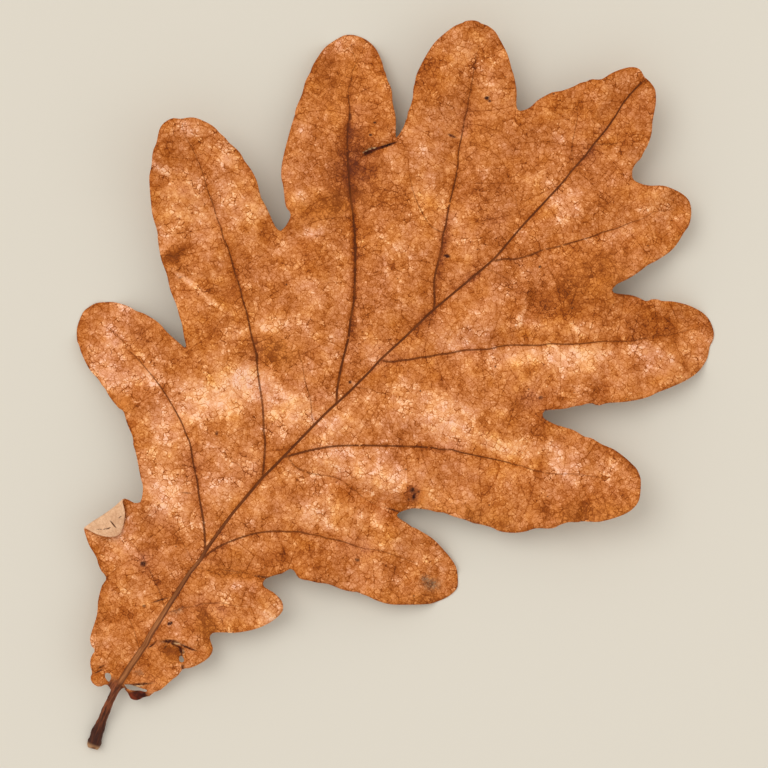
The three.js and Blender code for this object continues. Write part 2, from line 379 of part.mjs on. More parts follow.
const sideVeins = Object.values(VEINS);
function veinGap(p) {
  let d = nearest(MIDRIB, p).d;
  for (const v of sideVeins) d = Math.min(d, nearest(v, p).d);
  return d;
}

const FOLD_LENGTH = gap(FOLD_FROM, FOLD_TO);
const foldDir = [(FOLD_TO[0] - FOLD_FROM[0]) / FOLD_LENGTH, (FOLD_TO[1] - FOLD_FROM[1]) / FOLD_LENGTH];
const foldOut = [-foldDir[1], foldDir[0]];
function foldPlace(p) {
  const d = [p[0] - FOLD_FROM[0], p[1] - FOLD_FROM[1]];
  return { u: d[0] * foldDir[0] + d[1] * foldDir[1], v: d[0] * foldOut[0] + d[1] * foldOut[1] };
}

// Height of the blade's middle surface over a place of the flat blade.
function height(x, y) {
  const p = [x, y];
  let z = reliefHeights(x, y);
  const blade = smooth(PETIOLE_TOP, PETIOLE_TOP + 9, y);
  const dv = veinGap(p);
  z += blade * PILLOW_HEIGHT * (1 - Math.exp(-((dv / PILLOW_REACH) ** 2)) - 0.55);
  for (const [x1, y1, x2, y2, h, w] of CREASES) {
    const l = Math.hypot(x2 - x1, y2 - y1);
    const t = ((x - x1) * (x2 - x1) + (y - y1) * (y2 - y1)) / (l * l);
    const over = t < 0 ? -t * l : t > 1 ? (t - 1) * l : 0;
    if (over > 4 * w) continue;
    const side = Math.abs(((x - x1) * (y2 - y1) - (y - y1) * (x2 - x1)) / l);
    z += h * Math.exp(-((side / w) ** 2) - (over / (1.6 * w)) ** 2);
  }
  const margin = Math.exp(-((nearest(rim, p).d / FRILL_REACH) ** 2));
  for (const [kx, ky, phase, body, edge] of WAVES)
    z += blade * (body + edge * margin) * Math.sin(kx * x + ky * y + phase);
  return z;
}

// The blade in space. The folded lobe tip rolls over its fold line and lies back on the blade.
function place(x, y) {
  const { u, v } = foldPlace([x, y]);
  if (v <= -FOLD_RADIUS || v > 7 || u < -1 || u > FOLD_LENGTH + 0.25) return [x, y, height(x, y)];
  const start = [x - foldOut[0] * (v + FOLD_RADIUS), y - foldOut[1] * (v + FOLD_RADIUS)];
  const e = 0.05;
  const z0 = height(start[0], start[1]);
  const slope = (z0 - height(start[0] - foldOut[0] * e, start[1] - foldOut[1] * e)) / e;
  const c = 1 / Math.hypot(1, slope),
    s = slope * c;
  const w = v + FOLD_RADIUS;
  const turn = Math.min(w / FOLD_RADIUS, Math.PI);
  const rest = Math.max(0, w - Math.PI * FOLD_RADIUS);
  const out = FOLD_RADIUS * Math.sin(turn) - rest * Math.cos(FLAP_LIFT);
  const up = FOLD_RADIUS * (1 - Math.cos(turn)) + rest * Math.sin(FLAP_LIFT);
  const flat = out * c - up * s;
  return [start[0] + foldOut[0] * flat, start[1] + foldOut[1] * flat, z0 + out * s + up * c];
}

// How far the upper and lower skins stand from the middle surface, measured along its normal.
function skins(x, y) {
  const p = [x, y];
  const rib = nearest(ribLine, p);
  const r = ribRadius(rib.s);
  const round = Math.sqrt(Math.max(0, r * r - rib.d * rib.d));
  const crown = 1 - 0.85 * smooth(petioleLength - 0.5, petioleLength + 12, rib.s);
  let under = Math.max(BLADE_THICKNESS / 2, round);
  for (const v of sideVeins) {
    const n = nearest(v, p);
    const left = 1 - n.s / n.total;
    const ridge = (VEIN_RIDGE_TIP + (VEIN_RIDGE_BASE - VEIN_RIDGE_TIP) * left) * Math.min(1, n.total / 25);
    if (n.d < VEIN_HALF_WIDTH)
      under = Math.max(under, BLADE_THICKNESS / 2 + ridge * (1 - (n.d / VEIN_HALF_WIDTH) ** 2));
  }
  return [Math.max(BLADE_THICKNESS / 2, round * crown), under];
}

// ---------------------------------------------------------------- the flat pattern
// The petiole's two sides, from its radius at each mark, and its round foot.
function petioleSides() {
  const line = stations(PETIOLE.slice(1).map(([x, y]) => [x, y]), PETIOLE_STEP);
  const left = [],
    right = [];
  line.forEach((p, i) => {
    const a = line[Math.max(0, i - 1)],
      b = line[Math.min(line.length - 1, i + 1)];
    const l = gap(a, b);
    const n = [-(b[1] - a[1]) / l, (b[0] - a[0]) / l];
    const r = ribRadius(nearest(ribLine, p).s);
    left.push([p[0] - n[0] * r, p[1] - n[1] * r]);
    right.push([p[0] + n[0] * r, p[1] + n[1] * r]);
  });
  return { line, left, right };
}
const petiole = petioleSides();
const bladeEdge = split(thin(BLADE_EDGE, EDGE_TOLERANCE), EDGE_STEP);
const onLeft = gap(petiole.left[0], bladeEdge[0]) < gap(petiole.right[0], bladeEdge[0]);
const nearSide = onLeft ? petiole.left : petiole.right;
const farSide = onLeft ? petiole.right : petiole.left;
let rim = [...bladeEdge, ...farSide, ...nearSide.slice().reverse(), bladeEdge[0]];
const holes = TEARS.map((h) => [...h, h[0]]);

const pattern = [];
function add(p, clear, edgeClear) {
  if (!inside(rim, p) || holes.some((h) => inside(h, p))) return;
  if (nearest(rim, p).d < edgeClear || holes.some((h) => nearest(h, p).d < edgeClear)) return;
  for (const q of pattern) if (Math.abs(q[0] - p[0]) < clear && gap(q, p) < clear) return;
  pattern.push(p);
}
// Rows along the petiole, the midrib and the side veins.
function rows(line, step, half, clear, edgeClear) {
  const st = stations(line, step);
  st.forEach((p, i) => {
    const a = st[Math.max(0, i - 1)],
      b = st[Math.min(st.length - 1, i + 1)];
    const l = gap(a, b);
    const n = [-(b[1] - a[1]) / l, (b[0] - a[0]) / l];
    const w = half(nearest(ribLine, p).s);
    add(p, clear, edgeClear);
    add([p[0] + n[0] * w, p[1] + n[1] * w], clear, edgeClear);
    add([p[0] - n[0] * w, p[1] - n[1] * w], clear, edgeClear);
  });
}
petiole.line.forEach((p, i) => {
  add(p, 0.1, 0.1);
  add(along(p, petiole.left[i], 0.6), 0.1, 0.1);
  add(along(p, petiole.right[i], 0.6), 0.1, 0.1);
});
rows(MIDRIB, RIB_STEP, (s) => Math.max(0.32, ribRadius(s)), 0.3, 0.35);
for (const v of sideVeins) rows(v, VEIN_STEP, () => VEIN_HALF_WIDTH, 0.35, 0.5);
// Rows across the fold, so that it turns in small steps.
for (let q = 0; q <= 4; q++) {
  const v = -FOLD_RADIUS + (q * Math.PI * FOLD_RADIUS) / 4;
  for (let u = 0; u <= FOLD_LENGTH + 0.01; u += FOLD_LENGTH / 6)
    add(
      [
        FOLD_FROM[0] + foldDir[0] * u + foldOut[0] * v,
        FOLD_FROM[1] + foldDir[1] * u + foldOut[1] * v,
      ],
      0.28,
      0.28,
    );
}
// Rows along both sides of the creases.
for (const [x1, y1, x2, y2, , w] of CREASES)
  for (const side of [0, 1, -1]) {
    const l = Math.hypot(x2 - x1, y2 - y1);
    const n = [(-(y2 - y1) / l) * w * 1.2 * side, ((x2 - x1) / l) * w * 1.2 * side];
    const m = Math.max(1, Math.round(l / GRID_STEP));
    for (let i = 0; i <= m; i++) add([x1 + ((x2 - x1) * i) / m + n[0], y1 + ((y2 - y1) * i) / m + n[1]], 0.62, 0.5);
  }
// The rest of the blade, on a triangular grid nudged off the exact lattice.
for (let j = -40; j <= 40; j++)
  for (let i = -40; i <= 40; i++) {
    const jig = Math.sin(12.9 * i + 78.2 * j) * 0.12;
    add([(i + (j & 1) / 2) * GRID_STEP + jig, j * GRID_STEP * 0.866 + jig * 0.7], GRID_STEP * 0.62, GRID_STEP * 0.4);
  }

// ---------------------------------------------------------------- triangulation of the pattern
function delaunay(pts) {
  const big = 4000;
  const all = [...pts, [-big, -big], [big, -big], [0, big]];
  const n = pts.length;
  const circle = (a, b, c) => {
    const [ax, ay] = all[a],
      [bx, by] = all[b],
      [cx, cy] = all[c];
    const d = 2 * (ax * (by - cy) + bx * (cy - ay) + cx * (ay - by));
    const ux = ((ax * ax + ay * ay) * (by - cy) + (bx * bx + by * by) * (cy - ay) + (cx * cx + cy * cy) * (ay - by)) / d;
    const uy = ((ax * ax + ay * ay) * (cx - bx) + (bx * bx + by * by) * (ax - cx) + (cx * cx + cy * cy) * (bx - ax)) / d;
    return { v: [a, b, c], ux, uy, r: (ax - ux) ** 2 + (ay - uy) ** 2 };
  };
  let tris = [circle(n, n + 1, n + 2)];
  const order = pts.map((_, i) => i);
  for (const i of order) {
    const [x, y] = all[i];
    const edges = new Map();
    const stay = [];
    for (const t of tris) {
      if ((x - t.ux) ** 2 + (y - t.uy) ** 2 < t.r * (1 - 1e-12)) {
        for (let k = 0; k < 3; k++) {
          const [a, b] = [t.v[k], t.v[(k + 1) % 3]];
          const back = b + "," + a;
          if (edges.has(back)) edges.delete(back);
          else edges.set(a + "," + b, [a, b]);
        }
      } else stay.push(t);
    }
    for (const [a, b] of edges.values()) stay.push(circle(a, b, i));
    tris = stay;
  }
  return tris.filter((t) => t.v.every((v) => v < n)).map((t) => t.v);
}

// Outline edges that the triangulation misses are halved until it holds them all.
let loops = [rim.slice(0, -1), ...holes.map((h) => h.slice(0, -1))];
let points, faces, loopIndex;
for (let round = 0; round < 12; round++) {
  points = loops.flat();
  let at = 0;
  loopIndex = loops.map((l) => l.map(() => at++));
  const edgePoints = points.length;
  for (const p of pattern) {
    let ok = true;
    for (let i = 0; i < edgePoints && ok; i++) ok = gap(points[i], p) > 0.16;
    if (ok) points.push(p);
  }
  faces = delaunay(points);
  const have = new Set();
  for (const [a, b, c] of faces) for (const [p, q] of [[a, b], [b, c], [c, a]]) have.add(Math.min(p, q) + "," + Math.max(p, q));
  let missing = 0;
  loops = loops.map((l, li) => {
    const out = [];
    l.forEach((p, i) => {
      const a = loopIndex[li][i],
        b = loopIndex[li][(i + 1) % l.length];
      out.push(p);
      if (!have.has(Math.min(a, b) + "," + Math.max(a, b))) {
        missing++;
        out.push(along(p, l[(i + 1) % l.length], 0.5));
      }
    });
    return out;
  });
  if (!missing) break;
}
const ring = loopIndex[0].map((i) => points[i]);
const rings = loopIndex.slice(1).map((l) => l.map((i) => points[i]));
faces = faces.filter(([a, b, c]) => {
  const m = [(points[a][0] + points[b][0] + points[c][0]) / 3, (points[a][1] + points[b][1] + points[c][1]) / 3];
  return inside(ring, m) && !rings.some((h) => inside(h, m));
});
// Every face turns the same way, seen from above.
faces = faces.map(([a, b, c]) => {
  const turn =
    (points[b][0] - points[a][0]) * (points[c][1] - points[a][1]) -
    (points[b][1] - points[a][1]) * (points[c][0] - points[a][0]);
  return turn > 0 ? [a, b, c] : [a, c, b];
});

// ---------------------------------------------------------------- the solid leaf
const edgeSet = new Set(loopIndex.flat());
const upper = [],
  lower = [];
points.forEach(([x, y], i) => {
  const e = 0.04;
  const o = place(x, y),
    px = place(x + e, y),
    py = place(x, y + e);
  const a = new THREE.Vector3(px[0] - o[0], px[1] - o[1], px[2] - o[2]);
  const b = new THREE.Vector3(py[0] - o[0], py[1] - o[1], py[2] - o[2]);
  const n = a.cross(b).normalize();
  let [up, down] = skins(x, y);
  if (edgeSet.has(i)) [up, down] = [RIM_HALF, RIM_HALF];
  upper.push([o[0] + n.x * up, o[1] + n.y * up, o[2] + n.z * up]);
  lower.push([o[0] - n.x * down, o[1] - n.y * down, o[2] - n.z * down]);
});
// Where the leaf touches down it is pressed flat on the surface it lies on.
points.forEach((_, i) => {
  if (lower[i][2] < 0) {
    const lift = -lower[i][2];
    lower[i][2] = 0;
    upper[i][2] += lift;
  }
});
const position = [];
const index = [];
for (const p of [...upper, ...lower]) position.push(...p);
const half = points.length;
for (const [a, b, c] of faces) index.push(a, b, c, half + a, half + c, half + b);
for (const l of loopIndex)
  l.forEach((a, i) => {
    const b = l[(i + 1) % l.length];
    const forward = faces.some((f) => [0, 1, 2].some((k) => f[k] === a && f[(k + 1) % 3] === b));
    const [p, q] = forward ? [a, b] : [b, a];
    index.push(q, p, half + p, q, half + p, half + q);
  });

const geometry = new THREE.BufferGeometry();
geometry.setAttribute("position", new THREE.Float32BufferAttribute(position, 3));
geometry.setIndex(index);
geometry.computeBoundingBox();
const box = geometry.boundingBox;
geometry.translate(-(box.min.x + box.max.x) / 2, -(box.min.y + box.max.y) / 2, -box.min.z);
geometry.computeVertexNormals();

const leaf = new THREE.Mesh(
  geometry,
  new THREE.MeshStandardMaterial({ color: LEAF_COLOUR, roughness: 0.62, metalness: 0 }),
);
leaf.name = "oak_leaf";

const group = new THREE.Group();
group.add(leaf);
export default group;
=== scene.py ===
"""A dried, fallen oak leaf, grown in one piece, on a plain studio floor."""

import math

import bpy
import numpy as np
from mathutils import Matrix, Vector, kdtree, noise
from mathutils.geometry import delaunay_2d_cdt


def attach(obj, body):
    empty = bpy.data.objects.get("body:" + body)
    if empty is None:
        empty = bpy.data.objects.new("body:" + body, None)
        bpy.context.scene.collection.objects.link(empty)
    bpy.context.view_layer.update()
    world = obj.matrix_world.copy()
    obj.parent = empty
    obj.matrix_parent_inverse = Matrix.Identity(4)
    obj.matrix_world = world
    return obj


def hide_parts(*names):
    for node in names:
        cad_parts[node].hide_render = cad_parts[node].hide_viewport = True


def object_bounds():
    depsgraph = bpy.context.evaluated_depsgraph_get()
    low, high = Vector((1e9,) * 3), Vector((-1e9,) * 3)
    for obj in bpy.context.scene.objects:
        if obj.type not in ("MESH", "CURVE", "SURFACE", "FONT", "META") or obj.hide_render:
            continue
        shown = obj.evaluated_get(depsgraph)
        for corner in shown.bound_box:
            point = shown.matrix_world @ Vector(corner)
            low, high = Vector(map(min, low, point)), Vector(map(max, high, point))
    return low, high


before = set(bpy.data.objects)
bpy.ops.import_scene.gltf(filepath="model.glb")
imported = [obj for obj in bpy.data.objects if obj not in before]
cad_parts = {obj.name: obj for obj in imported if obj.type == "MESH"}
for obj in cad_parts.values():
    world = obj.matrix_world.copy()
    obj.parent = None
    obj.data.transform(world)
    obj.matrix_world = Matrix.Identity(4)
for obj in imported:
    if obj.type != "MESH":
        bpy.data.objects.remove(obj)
CAD_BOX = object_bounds()
CAD_BOX = ([float(v) for v in CAD_BOX[0]], [float(v) for v in CAD_BOX[1]])

# Flat pattern of the leaf, in millimetres, +Y along the midrib. Petiole: X, Y, radius.

PETIOLE = [
    (-1.79, -55.32, 0.64), (-1.55, -56.56, 0.51), (-1.36, -57.3, 0.48), (-0.99, -58.7, 0.55), (-0.55, -60.09, 0.57),
    (0.04, -61.8, 0.71), (0.43, -62.86, 0.83), (0.78, -63.71, 0.9), (0.99, -64.25, 0.86), (1.13, -64.57, 0.62),
]
MIDRIB = [
    (-1.79, -55.32), (-2.19, -52.34), (-2.47, -48.77), (-3.14, -44.47), (-4.04, -37.16), (-4.02, -35.19), (-4.36, -32.84), (-4.71, -27.45), (-4.68, -20.6),
    (-4.45, -18.71), (-3.66, -8.6), (-3.02, -3.94), (-2.59, 0.44), (-2.55, 2.2), (-1.92, 6.66), (-1.35, 11.82), (0.69, 23.11), (0.77, 28.61),
    (1.26, 37.71), (1.16, 39.25), (1.31, 42.16), (1.16, 43.99), (1.2, 46.65), (0.99, 49.17), (0.68, 50.89), (0.67, 53.22), (0.8, 54.77),
]
VEINS = {
    "left_1": [
        (-4.32, -33.51), (-6.83, -30.82), (-10.44, -27.7), (-11.19, -26.89), (-13.16, -25.46), (-15.56, -23.32), (-16.7, -22.83), (-17.81, -22.13),
        (-23.52, -20.03), (-28.24, -19.09), (-29.58, -18.97), (-30.29, -19.04), (-30.73, -18.64), (-31.04, -18.54), (-34.14, -18.23),
    ],
    "left_2": [
        (-4.68, -20.7), (-6.77, -17.66), (-7.78, -16.41), (-8.37, -15.92), (-10.79, -13.25), (-15.02, -9.39), (-16.12, -8.15), (-17.91, -6.93),
        (-21.48, -4.14), (-22.61, -3.46), (-23.79, -2.46), (-25.45, -1.5), (-28.76, 0.79), (-29.91, 1.28), (-31.36, 2.41), (-32.86, 3.14),
        (-33.61, 3.79), (-35.94, 5.09), (-38.06, 6.56), (-40.88, 8), (-43.49, 9.08), (-44.58, 9.97),
    ],
    "left_3": [
        (-3.33, -6.18), (-4.09, -5.36), (-6.38, -1.34), (-7.99, 2), (-9.16, 3.73), (-10.54, 6.19), (-12.28, 8.52), (-16.26, 13.31),
        (-20.66, 17.57), (-23.26, 20.27), (-25.82, 23.18), (-27.91, 26.3), (-29.08, 27.31), (-29.78, 28.16), (-30.23, 29.41), (-30.97, 30.41),
        (-31.37, 32.06), (-32.56, 32.51), (-33.45, 33.21),
    ],
    "left_4": [
        (-1.3, 12.41), (-1.84, 13.21), (-3.83, 15.52), (-5.94, 19.7), (-6.76, 20.82), (-7.39, 22.28), (-8.53, 24.21), (-11.3, 29.64),
        (-12.49, 31.17), (-13.95, 33.92), (-14.85, 35.33), (-15.45, 36.81), (-16.11, 37.7), (-16.72, 38.99), (-18.98, 42.69), (-19.7, 44.06),
        (-19.81, 44.51),
    ],
    "left_5": [
        (1.08, 39.9), (0.02, 40.82), (-1.05, 42.09), (-2.85, 45.45), (-3.69, 46.55), (-4.79, 48.51),
    ],
    "left_0": [
        (-3.24, -43.49), (-5.5, -41.95), (-7.89, -40.87), (-8.76, -40.33), (-9.77, -40.09), (-10.52, -39.64), (-15.52, -38.75),
    ],
    "left_low": [
        (-2.42, -50), (-3.22, -49.58), (-4, -48.9), (-6.04, -47.7), (-7.44, -47), (-8.9, -46.74),
    ],
    "right_1": [
        (-3.12, -44.6), (-2.73, -43.34), (-2.08, -42.39), (-1.77, -41.68), (-0.58, -40.51), (-0.06, -39.62), (2.08, -37.65), (3.72, -36.81),
        (6.26, -34.88), (6.6, -34.43),
    ],
    "right_2": [
        (-4.06, -35), (-3.39, -32.34), (-2.35, -30.13), (-0.54, -27.32), (1.69, -25.03), (2.94, -24.16), (3.63, -23.46), (5.54, -22.51),
        (6.45, -21.89), (7.59, -21.52), (8.27, -21.05), (9.95, -20.25), (12.42, -19.32), (13.89, -18.28), (19.22, -16.25),
    ],
    "right_sinus": [
        (-3.78, -16.26), (-2.92, -16.62), (-1.88, -16.6), (-0.15, -16.09), (0.98, -15.5), (2, -14.77), (4.28, -13.85), (5.44, -14),
        (6.4, -13.81), (7.63, -13.97), (8.3, -13.92), (10.77, -13.21), (12.6, -12.39),
    ],
    "right_3": [
        (-4.27, -16.75), (-1.93, -13.5), (0.47, -10.76), (9.4, -3.54), (10.99, -2.42), (11.89, -1.98), (12.78, -1.11), (13.87, -0.68),
        (20.02, 2.53), (20.98, 2.88), (21.79, 3.42), (23.23, 3.86), (25.95, 5.34), (28.52, 7.44), (32.26, 9.66),
    ],
    "right_4": [
        (-2.14, 2.36), (-0.99, 3.14), (-0.29, 4.03), (0.63, 4.88), (1.58, 6.12), (2.39, 6.88), (3.34, 8.12), (4.04, 8.78),
        (5.54, 10.66), (8.3, 13.19), (8.92, 14.18), (9.89, 15.18), (13.6, 18.29), (14.3, 19.19), (15.01, 19.63), (17.03, 21.31),
        (19.76, 24.09), (22.73, 26.58), (23.56, 27.75), (24.12, 28.28), (24.44, 28.86), (26.43, 30.79), (27.88, 32.95), (28.71, 33.68),
    ],
    "right_5": [
        (0.97, 22.91), (1.64, 23.83), (2.61, 24.61), (3.28, 24.92), (3.62, 25.78), (4.27, 26.71), (5.16, 28.48), (5.92, 29.29),
        (7.23, 31.19), (9.23, 34.2), (9.91, 35.54), (11.08, 37.16), (11.82, 38.65), (13.07, 40.62), (13.53, 42.24), (14.54, 43.19),
        (15.24, 44.08),
    ],
    "right_6": [
        (1.16, 43.93), (1.51, 44.38), (3.2, 45.81), (3.93, 46.66), (4.41, 47.58), (4.33, 48.35),
    ],
    "between_2": [
        (-3.93, -10.44), (-4.57, -10.08), (-6.32, -8.3), (-9.12, -6.3), (-10.23, -5.25), (-11.97, -4.16), (-12.58, -3.45), (-12.68, -3.14),
    ],
    "between_3": [
        (-7.35, 21.23), (-8.22, 20.99), (-9.33, 21.03), (-11.17, 21.66), (-13.97, 23.12), (-16.2, 24.86), (-17.35, 25.35), (-17.74, 25.74),
    ],
    "between_1": [
        (-6.33, -22.51), (-6.45, -22.05), (-7.08, -21.69), (-9.27, -21.35), (-10.78, -21.47), (-11.29, -21.4), (-13.38, -20.08),
    ],
    "between_4": [
        (0.8, 28.53), (0.77, 29.57), (0.59, 29.96), (-0.85, 30.21), (-3.9, 32.9),
    ],
    "between_0": [
        (-3.96, -36), (-6.33, -35.14), (-7.79, -34.5), (-9.38, -34.02), (-10.83, -33.78), (-11.49, -33.97),
    ],
    "between_r4": [
        (0.82, 21.35), (1.13, 21.64), (3.4, 21.93), (5.09, 22.49), (6.64, 23.66),
    ],
    "between_r3": [
        (-2.1, -2.46), (-1.85, -2.1), (-1.5, -1.88), (0, -1.52), (1.86, -0.51), (3.28, -0.07), (3.51, 0.15), (3.47, 0.36),
    ],
    "between_r1": [
        (-3.84, -36.79), (-4.01, -36.29), (-3.73, -35.84), (-2.73, -35.66), (-2, -35.33), (-1.14, -35.24), (-0.52, -34.35), (0.68, -34),
        (0.93, -32.98), (1.19, -32.67), (1.87, -32.4), (3.27, -31.49), (4.04, -31.34),
    ],
}
